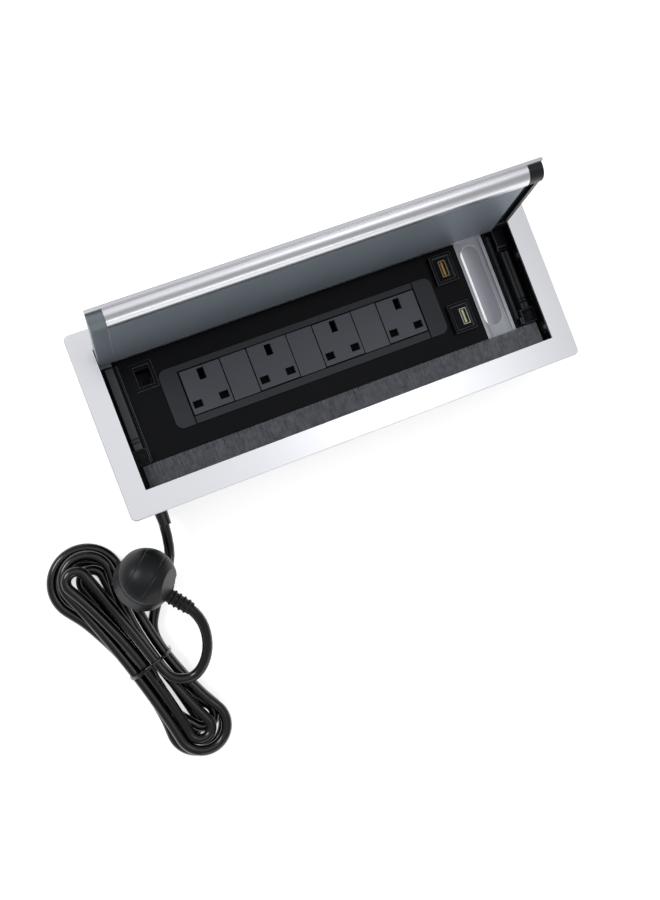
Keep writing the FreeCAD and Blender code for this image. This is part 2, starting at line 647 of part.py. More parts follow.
def earth_busbar():
    """The earth bar, with a clip that grips each earth pin from its two sides."""
    low = BASE_LOW + BASE_FLOOR
    reach = CLIP_HALF_GAP + CLIP_SHEET
    shapes = [block(TILES_LEFT + 3, TILES_RIGHT - 3, EARTH_PIN_Y - 1, EARTH_PIN_Y + 1,
                    low, low + BAR_HEIGHT)]
    y0 = EARTH_PIN_Y - EARTH_CLIP_LENGTH / 2
    y1 = EARTH_PIN_Y + EARTH_CLIP_LENGTH / 2
    for x in SOCKET_XS:
        floor = low + BAR_HEIGHT
        shapes.append(block(x - reach, x + reach, y0, y1, floor, floor + CLIP_SHEET))
        for edge in (-reach, CLIP_HALF_GAP):
            shapes.append(block(x + edge, x + edge + CLIP_SHEET, y0, y1,
                                floor, CLIP_LOW + CLIP_HEIGHT))
    return joined(shapes)


# USB charger

def usb_port_x(index):
    return USB_X + USB_PORT_OFFSET_X[index]


def usb_housing(index):
    top = DECK_TOP + USB_RISE
    cap = usb_block(index, 0, DECK_TOP, top)
    body = usb_block(index, USB_FLANGE, DECK_TOP - USB_BODY_DEPTH, DECK_TOP + 0.5)
    recess = usb_block(index, USB_FACE_RIM, top - USB_FACE_RECESS, top + 1)
    gap = 0.1
    x = usb_port_x(index)
    y = USB_Y[index]
    mouth = block(x - USB_SHELL_X / 2 - gap, x + USB_SHELL_X / 2 + gap,
                  y - USB_SHELL_Y / 2 - gap, y + USB_SHELL_Y / 2 + gap,
                  DECK_TOP - USB_BODY_DEPTH - 1, top + 1)
    return joined([cap, body]).cut(group([recess, mouth]))


def usb_shells():
    return group([usb_shell(i) for i in range(len(USB_Y))])


def usb_tongues():
    return group([usb_tongue(i) for i in range(len(USB_Y))])


def usb_shell(index):
    x = usb_port_x(index)
    y = USB_Y[index]
    top = DECK_TOP + USB_RISE - USB_FACE_RECESS
    low = top - USB_SHELL_LENGTH
    half_x = USB_SHELL_X / 2
    half_y = USB_SHELL_Y / 2
    tube = rounded_block(x - half_x, x + half_x, y - half_y, y + half_y, low, top, 0.6)
    bore = block(x - half_x + USB_SHELL_WALL, x + half_x - USB_SHELL_WALL,
                 y - half_y + USB_SHELL_WALL, y + half_y - USB_SHELL_WALL, low - 1, top + 1)
    board_top = DECK_TOP - USB_BODY_DEPTH
    legs = [block(x - half_x, x - half_x + USB_SHELL_WALL, y + s * 4 - 1, y + s * 4 + 1,
                  board_top, low + 0.5) for s in (-1, 1)]
    return joined([tube.cut(bore)] + legs)


def usb_tongue(index):
    """The plastic tongue and the block that closes the bottom of the port."""
    x = usb_port_x(index)
    y = USB_Y[index]
    top = DECK_TOP + USB_RISE - USB_FACE_RECESS
    low = top - USB_SHELL_LENGTH
    inner_x = USB_SHELL_X / 2 - USB_SHELL_WALL
    inner_y = USB_SHELL_Y / 2 - USB_SHELL_WALL
    plug = block(x - inner_x, x + inner_x, y - inner_y, y + inner_y, low, low + 2)
    blade = block(x - USB_TONGUE_X / 2, x + USB_TONGUE_X / 2, y - USB_TONGUE_Y / 2,
                  y + USB_TONGUE_Y / 2, low, top - USB_TONGUE_RECESS)
    return joined([plug, blade])


def usb_board():
    top = DECK_TOP - USB_BODY_DEPTH
    half = USB_MODULE_X / 2
    y0 = USB_Y[1] - USB_MODULE_Y / 2 - BOARD_MARGIN
    y1 = USB_Y[0] + USB_MODULE_Y / 2 + BOARD_MARGIN
    board = block(USB_X - half, USB_X + half, y0, y1, top - BOARD_THICKNESS, top)
    under = top - BOARD_THICKNESS
    middle = (y0 + y1) / 2
    wide = TRANSFORMER_WIDTH / 2
    deep = TRANSFORMER_DEPTH / 2
    transformer = block(USB_X - wide, USB_X + wide, middle - deep, middle + deep,
                        under - TRANSFORMER_HEIGHT, under)
    capacitor = Part.makeCylinder(CAPACITOR_RADIUS, CAPACITOR_HEIGHT,
                                  V(USB_X - CAPACITOR_RADIUS, y0 + BOARD_END, under), V(0, 0, -1))
    choke = Part.makeCylinder(CHOKE_RADIUS, CHOKE_HEIGHT,
                              V(USB_X + CAPACITOR_RADIUS, y1 - BOARD_END, under), V(0, 0, -1))
    return joined([board, transformer, capacitor, choke])


# Network port

def network_bezel():
    top = DECK_TOP + NETWORK_RISE
    flange = network_block(0, DECK_TOP, top)
    body = network_block(NETWORK_BODY_WALL, DECK_TOP - NETWORK_BODY_HEIGHT, DECK_TOP + 0.5)
    half_x = NETWORK_OPENING_X / 2
    half_y = NETWORK_OPENING_Y / 2
    bore = block(NETWORK_X - half_x, NETWORK_X + half_x, NETWORK_Y - half_y, NETWORK_Y + half_y,
                 DECK_TOP - NETWORK_BODY_HEIGHT - 1, top + 1)
    return joined([flange, body]).cut(bore)


def network_jack():
    """The jack inside the bezel: a mouth with a notch for the plug's latch."""
    half_x = NETWORK_OPENING_X / 2 - 0.1
    half_y = NETWORK_OPENING_Y / 2 - 0.1
    top = DECK_TOP - JACK_TOP_DROP
    low = DECK_TOP - NETWORK_BODY_HEIGHT
    body = block(NETWORK_X - half_x, NETWORK_X + half_x, NETWORK_Y - half_y, NETWORK_Y + half_y,
                 low, top)
    mouth_y = NETWORK_Y + 1.6
    mouth = block(NETWORK_X - JACK_X / 2 + 0.6, NETWORK_X + JACK_X / 2 - 0.6,
                  mouth_y - JACK_Y / 2, mouth_y + JACK_Y / 2, top - JACK_DEPTH, top + 1)
    latch = block(NETWORK_X - JACK_LATCH_X / 2, NETWORK_X + JACK_LATCH_X / 2,
                  mouth_y - JACK_Y / 2 - JACK_LATCH_Y, mouth_y, top - JACK_DEPTH, top + 1)
    return body.cut(group([mouth, latch]))


def network_contacts():
    """Eight sprung wires, each slanted from the back wall of the mouth."""
    top = DECK_TOP - JACK_TOP_DROP
    back = NETWORK_Y + 1.6 + JACK_Y / 2
    wires = []
    for i in range(CONTACT_COUNT):
        x = NETWORK_X + (i - (CONTACT_COUNT - 1) / 2) * CONTACT_PITCH
        low = top - JACK_DEPTH
        points = [(back, low), (back - CONTACT_WIDTH, low),
                  (back - 2.2, top - 3), (back - 2.2 + CONTACT_WIDTH, top - 3)]
        wires.append(prism_x(points, x - CONTACT_WIDTH / 2, x + CONTACT_WIDTH / 2))
    return group(wires)


# Cable pass-through

def cable_chute():
    """A grey sleeve from the deck to the bottom cover, with a round-ended slot inside it."""
    top = DECK_TOP + CHUTE_RISE
    half = CHUTE_WIDTH / 2
    sleeve = chute_block(0, 0, top)
    flange = chute_block(CHUTE_FLANGE, DECK_TOP, top)
    bore = block(CHUTE_X - half, CHUTE_X + half, CHUTE_FRONT, CHUTE_REAR, -1, top + 1)
    ledge_top = top - CHUTE_LEDGE_DROP
    ledge = block(CHUTE_X - half - 0.5, CHUTE_X + half + 0.5, CHUTE_FRONT - 0.5, CHUTE_REAR + 0.5,
                  ledge_top - CHUTE_LEDGE_THICKNESS, ledge_top)
    slot = rounded_block(CHUTE_X - CHUTE_SLOT_WIDTH / 2, CHUTE_X + CHUTE_SLOT_WIDTH / 2,
                         CHUTE_SLOT_FRONT, CHUTE_SLOT_REAR, 0, top, CHUTE_SLOT_WIDTH)
    return joined([joined([sleeve, flange]).cut(bore), ledge.cut(slot)])


# Brush strip

def brush_rail():
    """The rail below the front bar that grips the bristles."""
    middle = TOP_HEIGHT - BRUSH_DROP - BRUSH_THICKNESS / 2
    rail = block(BRUSH_LEFT, BRUSH_RIGHT, INNER_FRONT, INNER_FRONT + BRUSH_RAIL_DEPTH,
                 middle - BRUSH_RAIL_HEIGHT / 2, middle + BRUSH_RAIL_HEIGHT / 2)
    clear = BRUSH_RAIL_DEPTH + 3
    notches = [block(x - POST_LENGTH / 2 - SEAT_GAP, x + POST_LENGTH / 2 + SEAT_GAP,
                     INNER_FRONT - 1, INNER_FRONT + clear,
                     UNDERSIDE - FRAME_BOSS_HEIGHT - POST_HEIGHT - SCREW_HEAD_HEIGHT - SEAT_GAP,
                     UNDERSIDE) for x, y in FRAME_SCREWS if y < OPENING_FRONT]
    slot = block(BRUSH_LEFT - 1, BRUSH_RIGHT + 1, INNER_FRONT + 1.5, INNER_FRONT + clear,
                 middle - BRUSH_THICKNESS / 2, middle + BRUSH_THICKNESS / 2)
    return rail.cut(group(notches + [slot]))


def brush_bristles():
    low = TOP_HEIGHT - BRUSH_DROP - BRUSH_THICKNESS
    return block(BRUSH_LEFT, BRUSH_RIGHT, INNER_FRONT + 1.5, BRUSH_REAR, low,
                 low + BRUSH_THICKNESS)


# Side channels

def side_rail(side, rear):
    """A rail beside the deck, with a notched front end."""
    x0, x1 = sorted((side * RAIL_INNER_X, side * (RAIL_INNER_X + RAIL_WIDTH)))
    rail = block(x0, x1, RAIL_FRONT, rear, DECK_TOP, RAIL_TOP)
    notches = [block(x0 - 1, x1 + 1, RAIL_FRONT + a, RAIL_FRONT + a + RAIL_NOTCH,
                     RAIL_TOP - RAIL_NOTCH, RAIL_TOP + 1) for a in (5.0, 8.0)]
    return rail.cut(group(notches))


def stop_block(side):
    """The block in front of a rail, which carries the lid's buffer."""
    x0, x1 = sorted((side * STOP_INNER_X, side * (STOP_INNER_X + STOP_WIDTH)))
    rear = RAIL_FRONT - SEAT_GAP
    top = TOP_HEIGHT - STOP_TOP_DROP
    body = block(x0, x1, rear - STOP_LENGTH, rear, DECK_TOP, top)
    cheek = side * (STOP_INNER_X - 1.6)
    c0, c1 = sorted((cheek, side * STOP_INNER_X))
    clip = block(c0, c1, rear - STOP_LENGTH + 1, rear - STOP_LENGTH / 2, DECK_TOP, top - 2)
    seat = post((x0 + x1) / 2, rear - STOP_LENGTH / 2, top - 1.5, top + 1, BUFFER_RADIUS)
    return joined([body, clip]).cut(seat)


def buffers():
    """Rubber buffers, one on each stop block."""
    rear = RAIL_FRONT - SEAT_GAP
    top = TOP_HEIGHT - STOP_TOP_DROP
    x = STOP_INNER_X + STOP_WIDTH / 2
    return group([post(s * x, rear - STOP_LENGTH / 2, top - 1.5, LID_UNDER - SEAT_GAP,
                       BUFFER_RADIUS - 0.02) for s in (-1, 1)])


def rear_block(side, front):
    """The stepped block behind a rail, below the foot of the lid."""
    x0, x1 = sorted((side * RAIL_INNER_X, side * (RAIL_INNER_X + RAIL_WIDTH + 2)))
    top = TOP_HEIGHT - REAR_BLOCK_DROP
    body = block(x0, x1, front + BLOCK_JOINT, REAR_BLOCK_END, DECK_TOP, top)
    step = block(x0 - 1, x1 + 1, front, front + BLOCK_JOINT + 3.0, top - 1.5, top + 1)
    return body.cut(step)


def hinge_bracket(side):
    """The block below the frame that holds the hinge pin."""
    x0, x1 = sorted((side * (OPENING_HALF + 0.4), side * (OPENING_HALF + 0.4 + BRACKET_WIDTH)))
    y0 = HINGE_Y - BRACKET_DEPTH / 2
    body = block(x0, x1, y0, y0 + BRACKET_DEPTH, UNDERSIDE - BRACKET_HEIGHT, BODY_TOP)
    bore = Part.makeCylinder(HINGE_PIN_RADIUS, BRACKET_WIDTH + 4,
                             V(side * (OPENING_HALF - 1), HINGE_Y, HINGE_Z), V(side, 0, 0))
    return body.cut(bore)


def hinge_pin(side):
    start = V(side * (OPENING_HALF + 0.4 + BRACKET_WIDTH - 0.3), HINGE_Y, HINGE_Z)
    return Part.makeCylinder(HINGE_PIN_RADIUS, HINGE_PIN_LENGTH, start, V(-side, 0, 0))


# Lid

def swung(shape):
    """Turns a lid piece from its closed place to the open one."""
    turned = shape.copy()
    turned.rotate(V(0, HINGE_Y, HINGE_Z), V(1, 0, 0), -LID_OPEN_ANGLE)
    return turned


def lid_section(x0, x1):
    """The finger cove, its lip and the web behind it, over a length of the lid."""
    top = TOP_HEIGHT - LID_PLATE
    start = V(x0, LID_FRONT + COVE_START, top - 1)
    end = V(x0, LID_FRONT + COVE_END, TOP_HEIGHT - COVE_DROP)
    middle = V(x0, LID_FRONT + COVE_START + 2.2, TOP_HEIGHT - COVE_DROP + 3.4)
    back = LID_FRONT + COVE_END + LIP_WIDTH
    corners = [start, V(x0, LID_FRONT + COVE_START, top + 0.5), V(x0, back, top + 0.5),
               V(x0, back, TOP_HEIGHT - COVE_DROP), end]
    edges = [Part.LineSegment(corners[i], corners[i + 1]).toShape() for i in range(4)]
    edges.append(Part.Arc(end, middle, start).toShape())
    return Part.Face(Part.Wire(edges)).extrude(V(x1 - x0, 0, 0))


def lid_panel():
    """The lid's extrusion: top plate, cove, lip and rear web."""
    plate = block(-LID_HALF, LID_HALF, LID_FRONT, LID_REAR, TOP_HEIGHT - LID_PLATE, TOP_HEIGHT)
    inner = LID_HALF - CAP_WIDTH
    web = block(-inner, inner, LID_REAR - REAR_WEB, LID_REAR, LID_UNDER, TOP_HEIGHT)
    shape = joined([plate, lid_section(-inner, inner), web])
    rear = [e for e in shape.Edges if e.BoundBox.YMin > LID_REAR - 1e-6
            and e.BoundBox.ZMin > TOP_HEIGHT - 1e-6 and e.BoundBox.XLength > LID_HALF]
    shape = shape.makeFillet(min(LID_REAR_RADIUS, LID_PLATE - 0.1), rear)
    front = [e for e in shape.Edges if e.BoundBox.YMax < LID_FRONT + 1e-6
             and e.BoundBox.ZMin > TOP_HEIGHT - 1e-6]
    return swung(shape.makeChamfer(LID_EDGE_CHAMFER, front))


def lid_inner_panel():
    """The sheet that closes the lid's underside, from the lip to the rear web."""
    inner = LID_HALF - CAP_WIDTH
    front = LID_FRONT + COVE_END + LIP_WIDTH
    return swung(block(-inner, inner, front, LID_REAR - REAR_WEB, LID_UNDER,
                       LID_UNDER + INNER_PANEL))


def lid_cap(side):
    """An end cap below the plate; the right one has a pocket in its underside."""
    x0, x1 = sorted((side * (LID_HALF - CAP_WIDTH), side * LID_HALF))
    top = TOP_HEIGHT - LID_PLATE
    front = LID_FRONT + COVE_END
    radius = 3.0
    body = block(x0, x1, front, LID_REAR, LID_UNDER, top)
    low_rear = [e for e in body.Edges if e.BoundBox.YMin > LID_REAR - 1e-6
                and e.BoundBox.ZMax < LID_UNDER + 1e-6]
    body = body.makeFillet(radius, low_rear)
    nose = lid_section(x0, x1).common(block(x0, x1, LID_FRONT, front + LIP_WIDTH, 0, top))
    shape = joined([body, nose])
    if side > 0:
        pocket = block(x0 - 1, x1 - CAP_POCKET_WALL, front + LIP_WIDTH + 2, HINGE_Y - 8,
                       LID_UNDER - 1, LID_UNDER + CAP_POCKET_DEPTH)
        shape = shape.cut(pocket)
    bore = Part.makeCylinder(BUSH_RADIUS, CAP_WIDTH, V(side * LID_HALF, HINGE_Y, HINGE_Z),
                             V(-side, 0, 0))
    return swung(shape.cut(bore))


def hinge_bush(side):
    outer = Part.makeCylinder(BUSH_RADIUS, CAP_WIDTH, V(side * LID_HALF, HINGE_Y, HINGE_Z),
                              V(-side, 0, 0))
    inner = Part.makeCylinder(HINGE_PIN_RADIUS + PIN_CLEARANCE, CAP_WIDTH + 2,
                              V(side * (LID_HALF + 1), HINGE_Y, HINGE_Z), V(-side, 0, 0))
    return swung(outer.cut(inner))


# Cord paths

def arc_to(start, tangent, end):
    """The arc that leaves start along a tangent and reaches end."""
    chord = end.sub(start)
    length = chord.Length
    along = V(chord).normalize()
    sideways = tangent.sub(V(along).multiply(tangent.dot(along)))
    if sideways.Length < 1e-6:
        return Part.LineSegment(start, end).toShape()
    angle = math.atan2(sideways.Length, tangent.dot(along))
    sag = length / 2 * math.tan(angle / 2)
    middle = start.add(V(chord).multiply(0.5)).add(sideways.normalize().multiply(sag))
    return Part.Arc(start, middle, end).toShape()


def biarc(start, out, end, into):
    """Two arcs that leave start along out and reach end along into."""
    chord = end.sub(start)
    both = chord.dot(out.add(into))
    turn = 2 * (1 - out.dot(into))
    if turn < 1e-9:
        reach = chord.dot(chord) / (2 * both)
    else:
        reach = (-both + math.sqrt(both * both + turn * chord.dot(chord))) / turn
    middle = start.add(end).add(V(out.sub(into)).multiply(reach)).multiply(0.5)
    first = arc_to(start, out, middle)
    tangent = middle.sub(start.add(V(out).multiply(reach))).normalize()
    return [first, arc_to(middle, tangent, end)]


def bent_path(points, share=0.45):
    """Straight runs joined by arcs as large as the runs allow; returns edges and radii."""
    edges = []
    radii = []
    start = points[0]
    for i in range(1, len(points) - 1):
        corner = points[i]
        back = points[i - 1].sub(corner)
        ahead = points[i + 1].sub(corner)
        shorter = min(back.Length, ahead.Length)
        cut = share * shorter
        turn = math.pi - back.getAngle(ahead)
        radii.append(cut / math.tan(turn / 2))
        enter = corner.add(V(back).normalize().multiply(cut))
        leave = corner.add(V(ahead).normalize().multiply(cut))
        if enter.sub(start).Length > 1e-4:
            edges.append(Part.LineSegment(start, enter).toShape())
        edges.append(arc_to(enter, V(back).normalize().multiply(-1), leave))
        start = leave
    edges.append(Part.LineSegment(start, points[-1]).toShape())
    return edges, radii


def tube(edges, radius):
    """A round solid along a chain of tangent edges."""
    spine = Part.Wire(edges)
    first = edges[0]
    tangent = first.tangentAt(first.FirstParameter)
    ring = Part.Wire([Part.makeCircle(radius, first.valueAt(first.FirstParameter), tangent)])
    pipe = Part.BRepOffsetAPI.MakePipeShell(spine)
    pipe.add(ring)
    pipe.build()
    pipe.makeSolid()
    solid = pipe.shape()
    share = solid.Volume / (math.pi * radius * radius * spine.Length)
    print("tube length %.1f mm, volume share %.4f" % (spine.Length, share))
    return solid


def least_gap(edges, diameter, step):
    """The least gap between stretches of one path that are more than a bend apart."""
    points = []
    travelled = 0.0
    for edge in edges:
        count = max(2, int(edge.Length / step))
        for i in range(count):
            place = edge.FirstParameter + (edge.LastParameter - edge.FirstParameter) * i / count
            points.append((travelled + edge.Length * i / count, edge.valueAt(place)))
        travelled += edge.Length
    least = 1e9
    for i, (along, point) in enumerate(points):
        for other_along, other in points[i + 1:]:
            if other_along - along > 6 * diameter:
                least = min(least, point.distanceToPoint(other))
    return least - diameter


# Hank of cord: four layers of loops of different sizes, drawn in at the waist

def hank_frame():
    """The waist's middle and the directions along and across the hank."""
    turn = math.radians(HANK_TURN)
    along = V(math.cos(turn), math.sin(turn), 0)
    across = V(-math.sin(turn), math.cos(turn), 0)
    return V(HANK_WAIST_X, HANK_WAIST_Y, 0), along, across


def hank_place(u, v, z):
    middle, along, across = hank_frame()
    return middle.add(V(along).multiply(u)).add(V(across).multiply(v)).add(V(0, 0, z))


def lobe_circle(number):
    """Centre along and across, and radius, of one loop's end; even ones are the lower end."""
    short, aside, smaller = HANK_LOBES[number]
    if number % 2 == 0:
        along = HANK_LOWER_ALONG - short * HANK_STEP
        return along, aside * HANK_STEP, HANK_LOWER_RADIUS - smaller * HANK_STEP
    along = HANK_UPPER_ALONG - short * HANK_STEP
    return -along, aside * HANK_STEP, HANK_UPPER_RADIUS - smaller * HANK_STEP


def touch_point(number, place):
    """Where a loop's end meets the arc that runs from it to a place at the waist.

    The arc is parallel to the hank at the waist. Its radius follows from the circle that
    it has to touch, and is negative where it bends the other way.
    """
    u, v, radius = lobe_circle(number)
    side = 1 if place > 0 else -1
    beyond = side * (v - place)
    waist_radius = (u * u + beyond * beyond - radius * radius) / (2 * (radius + beyond))
    reach = radius / (radius + waist_radius)
    return u - reach * u, v + reach * (place + side * waist_radius - v)


def hank_passes():
    """Every stretch through the waist: its place across, and its start and end heights.

    Passes alternate between the right and the left. The insets spiral in and out again,
    and the cord climbs a layer on each pass where they reverse.
    """
    count = len(HANK_LOBES) + 1
    level = CORD_RADIUS
    passes = []
    for i in range(count):
        place = HANK_WAIST_HALF - HANK_INSETS[i % len(HANK_INSETS)] * HANK_STEP
        climbs = 0 < i < count - 1 and i % (len(HANK_INSETS) // 2) == 0
        above = level + (HANK_LAYER if climbs else 0)
        passes.append((place if i % 2 == 0 else -place, level, above))
        level = above
    return passes


def circle_tangent(number, point):
    """The direction of travel on a loop's end: clockwise seen from above."""
    middle, along, across = hank_frame()
    u, v, radius = lobe_circle(number)
    du, dv = (point[0] - u) / radius, (point[1] - v) / radius
    return V(along).multiply(dv).sub(V(across).multiply(du))


def hank_edges():
    """Edges of the whole hank, from the waist's right side on the floor to its top layer."""
    passes = hank_passes()
    middle, along, across = hank_frame()
    edges = []
    for i, (place, low, high) in enumerate(passes):
        ahead = V(along) if place > 0 else V(along).multiply(-1)
        rise = (high - low) / (HANK_UPPER_ALONG + HANK_LOWER_ALONG)
        ahead = ahead.add(V(0, 0, 2 * rise)).normalize()
        waist = hank_place(0, place, (low + high) / 2)
        if i > 0:
            near = touch_point(i - 1, place)
            start = hank_place(near[0], near[1], low)
            edges += stretch(start, circle_tangent(i - 1, near), waist, ahead, low == high)
        if i < len(passes) - 1:
            near = touch_point(i, place)
            far = touch_point(i, passes[i + 1][0])
            end = hank_place(near[0], near[1], high)
            edges += stretch(waist, ahead, end, circle_tangent(i, near), low == high)
            u, v, radius = lobe_circle(i)
            tip = hank_place(u + math.copysign(radius, u), v, high)
            edges.append(Part.Arc(end, tip, hank_place(far[0], far[1], high)).toShape())
    return edges


def stretch(start, out, end, into, level):
    """One arc where the cord stays level, or two where it climbs."""
    return [arc_to(start, out, end)] if level else biarc(start, out, end, into)


def cord_hank():
    edges = hank_edges()
    print("hank least gap to itself %.2f mm" % least_gap(edges, CORD_DIAMETER, 6.0))
    hank = tube(edges, CORD_RADIUS)
    return hank, edges


def hank_tie():
    """A flat strap round the waist, clear of the loops."""
    gap = SEAT_GAP
    half = HANK_WAIST_HALF + CORD_RADIUS + gap
    left = half - HANK_STEP / 2
    low = 0.0
    high = CORD_DIAMETER + (HANK_LAYERS - 1) * HANK_LAYER + gap
    outer = hank_box(-TIE_WIDTH / 2, TIE_WIDTH / 2, -left - TIE_THICKNESS, half + TIE_THICKNESS,
                     low, high + TIE_THICKNESS)
    inner = hank_box(-TIE_WIDTH, TIE_WIDTH, -left, half, low - 1, high)
    return outer.cut(inner)


def hank_box(u0, u1, v0, v1, z0, z1):
    """A box laid out along the hank."""
    corners = [hank_place(u, v, z0) for u, v in ((u0, v0), (u1, v0), (u1, v1), (u0, v1), (u0, v0))]
    return Part.Face(Part.makePolygon(corners)).extrude(V(0, 0, z1 - z0))


# Gland, plug and the free stretches of cord

def cord_gland():
    """The gland in the front wall, with its nut inside and a tapered strain relief outside."""
    axis = V(0, -1, 0)
    start = V(GLAND_X, BODY_FRONT, GLAND_HEIGHT)
    nut = Part.makeCylinder(GLAND_NUT_RADIUS, GLAND_NUT_LENGTH, start, axis)
    sleeve = Part.makeCylinder(CORD_RADIUS + GLAND_SLEEVE, BODY_WALL + 4,
                               V(GLAND_X, BODY_FRONT + BODY_WALL + 4, GLAND_HEIGHT), axis)
    lock = Part.makeCylinder(GLAND_NUT_RADIUS - 1, 3,
                             V(GLAND_X, INNER_FRONT + 3, GLAND_HEIGHT), axis)
    cone = Part.makeCone(GLAND_RELIEF_ROOT, GLAND_RELIEF_TIP, RELIEF_LENGTH, start, axis)
    body = joined([nut, sleeve, lock, cone])
    bore = Part.makeCylinder(CORD_RADIUS, CORD_TAIL + BODY_WALL + RELIEF_LENGTH + GLAND_NUT_LENGTH,
                             V(GLAND_X, INNER_FRONT + CORD_TAIL, GLAND_HEIGHT), axis)
    return body.cut(bore)


def plug_axes():
    """Plug's directions: away from the pins, towards the cord, and across."""
    tilt = math.radians(PLUG_TILT)
    bearing = math.radians(PLUG_TILT_BEARING)
    away = V(-math.sin(tilt) * math.cos(bearing), -math.sin(tilt) * math.sin(bearing),
             math.cos(tilt))
    cord = math.radians(PLUG_CORD_BEARING)
    flat = V(math.cos(cord), math.sin(cord), 0)
    towards = flat.sub(V(away).multiply(flat.dot(away))).normalize()
    return away, towards, away.cross(towards)


def laid(shape):
    """Puts a plug piece, drawn upright at the origin, where the plug lies."""
    away, towards, across = plug_axes()
    y_axis = V(towards).multiply(-1)
    x_axis = y_axis.cross(away)
    matrix = FreeCAD.Matrix(x_axis.x, y_axis.x, away.x, PLUG_CENTRE[0],
                            x_axis.y, y_axis.y, away.y, PLUG_CENTRE[1],
                            x_axis.z, y_axis.z, away.z, PLUG_CENTRE[2], 0, 0, 0, 1)
    turned = shape.copy()
    turned.Placement = FreeCAD.Placement(matrix)
    return turned


def plug_profile(radius, z0, z1, round_radius):
    """A turned disc with a rounded lower edge."""
    disc = Part.makeCylinder(radius, z1 - z0, V(0, 0, z0))
    low = [e for e in disc.Edges if e.BoundBox.ZMax < z0 + 1e-6]
    return disc.makeFillet(round_radius, low)


def plug_pin_boxes(grow):
    """The three pins, from inside the base to their tips."""
    half = PIN_THICKNESS / 2 + grow
    earth = block(-half, half, PLUG_EARTH_Y - EARTH_PIN_WIDTH / 2 - grow,
                  PLUG_EARTH_Y + EARTH_PIN_WIDTH / 2 + grow, -EARTH_PIN_LENGTH, 8)
    pins = [earth]
    for side in (-1, 1):
        x = side * PIN_SPACING / 2
        wide = LINE_PIN_WIDTH / 2 + grow
        pins.append(block(x - wide, x + wide, PLUG_LINE_Y - half, PLUG_LINE_Y + half,
                          -LINE_PIN_LENGTH, 8))
    return pins


def plug_base():
    disc = plug_profile(PLUG_RADIUS, 0, PLUG_BASE_HEIGHT, 1.5)
    fuse = Part.makeCylinder(FUSE_RADIUS + 0.1, FUSE_LENGTH + 0.4,
                             V(-(FUSE_LENGTH + 0.4) / 2, 2.0, 5.0), V(1, 0, 0))
    return laid(disc.cut(group(plug_pin_boxes(0) + [fuse, plug_cord_bore()])))


def plug_cover():
    """The domed back of the plug, above a fine seam."""
    low = PLUG_BASE_HEIGHT + PLUG_SEAM
    rim = low + PLUG_RIM_HEIGHT
    neck = PLUG_RADIUS - PLUG_SEAM_DEPTH
    corners = [V(0, 0, PLUG_BASE_HEIGHT), V(neck, 0, PLUG_BASE_HEIGHT), V(neck, 0, low),
               V(PLUG_RADIUS, 0, low), V(PLUG_RADIUS, 0, rim)]
    centre = (PLUG_HEIGHT ** 2 - PLUG_RADIUS ** 2 - rim ** 2) / (2 * (PLUG_HEIGHT - rim))
    radius = PLUG_HEIGHT - centre
    half = math.atan2(PLUG_RADIUS, rim - centre) / 2
    middle = V(radius * math.sin(half), 0, centre + radius * math.cos(half))
    top = V(0, 0, PLUG_HEIGHT)
    edges = [Part.LineSegment(corners[i], corners[i + 1]).toShape() for i in range(4)]
    edges += [Part.Arc(corners[4], middle, top).toShape(),
              Part.LineSegment(top, corners[0]).toShape()]
    dome = Part.Face(Part.Wire(edges)).revolve(V(0, 0, 0), V(0, 0, 1), 360)
    return laid(dome.cut(plug_facet(centre, radius)))


def plug_facet(centre, radius):
    """What the flat facet above the cord takes off the dome."""
    tilt = math.radians(PLUG_FACET_TILT)
    out = V(0, -math.cos(tilt), math.sin(tilt))
    foot = V(0, 0, centre).add(V(out).multiply(radius - PLUG_FACET_DEPTH))
    return Part.makeCylinder(2 * PLUG_RADIUS, PLUG_RADIUS, foot, out)


def plug_cord_bore():
    """The hole in the base's edge for the strain relief."""
    return Part.makeCylinder(RELIEF_TIP_RADIUS, 8, V(0, -PLUG_RADIUS + 6, PLUG_RELIEF_HEIGHT - 2),
                             V(0, -1, 0))


def plug_relief():
    """The ribbed strain relief on the plug."""
    start = V(0, -PLUG_RADIUS + 6, PLUG_RELIEF_HEIGHT - 2)
    core = Part.makeCylinder(RELIEF_TIP_RADIUS, 6 + PLUG_RELIEF_LENGTH, start, V(0, -1, 0))
    ribs = []
    for i in range(4):
        at = V(0, -PLUG_RADIUS - 2.5 - i * 4.6, PLUG_RELIEF_HEIGHT - 2)
        ribs.append(Part.makeCylinder(RELIEF_ROOT_RADIUS - 0.3 * i, 2.8, at, V(0, -1, 0)))
    body = joined([core] + ribs)
    mouth = V(0, -PLUG_RADIUS - PLUG_RELIEF_LENGTH + PLUG_CORD_SEAT, PLUG_RELIEF_HEIGHT - 2)
    bore = Part.makeCylinder(CORD_RADIUS, 2 * PLUG_CORD_SEAT, mouth, V(0, -1, 0))
    return laid(body.cut(bore))


def plug_cord_end(beyond):
    """A point on the plug's cord axis, beyond the tip of the strain relief."""
    away, towards, across = plug_axes()
    reach = PLUG_RADIUS + PLUG_RELIEF_LENGTH + beyond
    centre = V(*PLUG_CENTRE)
    return centre.add(V(away).multiply(PLUG_RELIEF_HEIGHT - 2)).add(V(towards).multiply(reach))


def plug_pins():
    return laid(group(plug_pin_boxes(0)))


def plug_fuse():
    return laid(Part.makeCylinder(FUSE_RADIUS, FUSE_LENGTH, V(-FUSE_LENGTH / 2, 2.0, 5.0),
                                  V(1, 0, 0)))


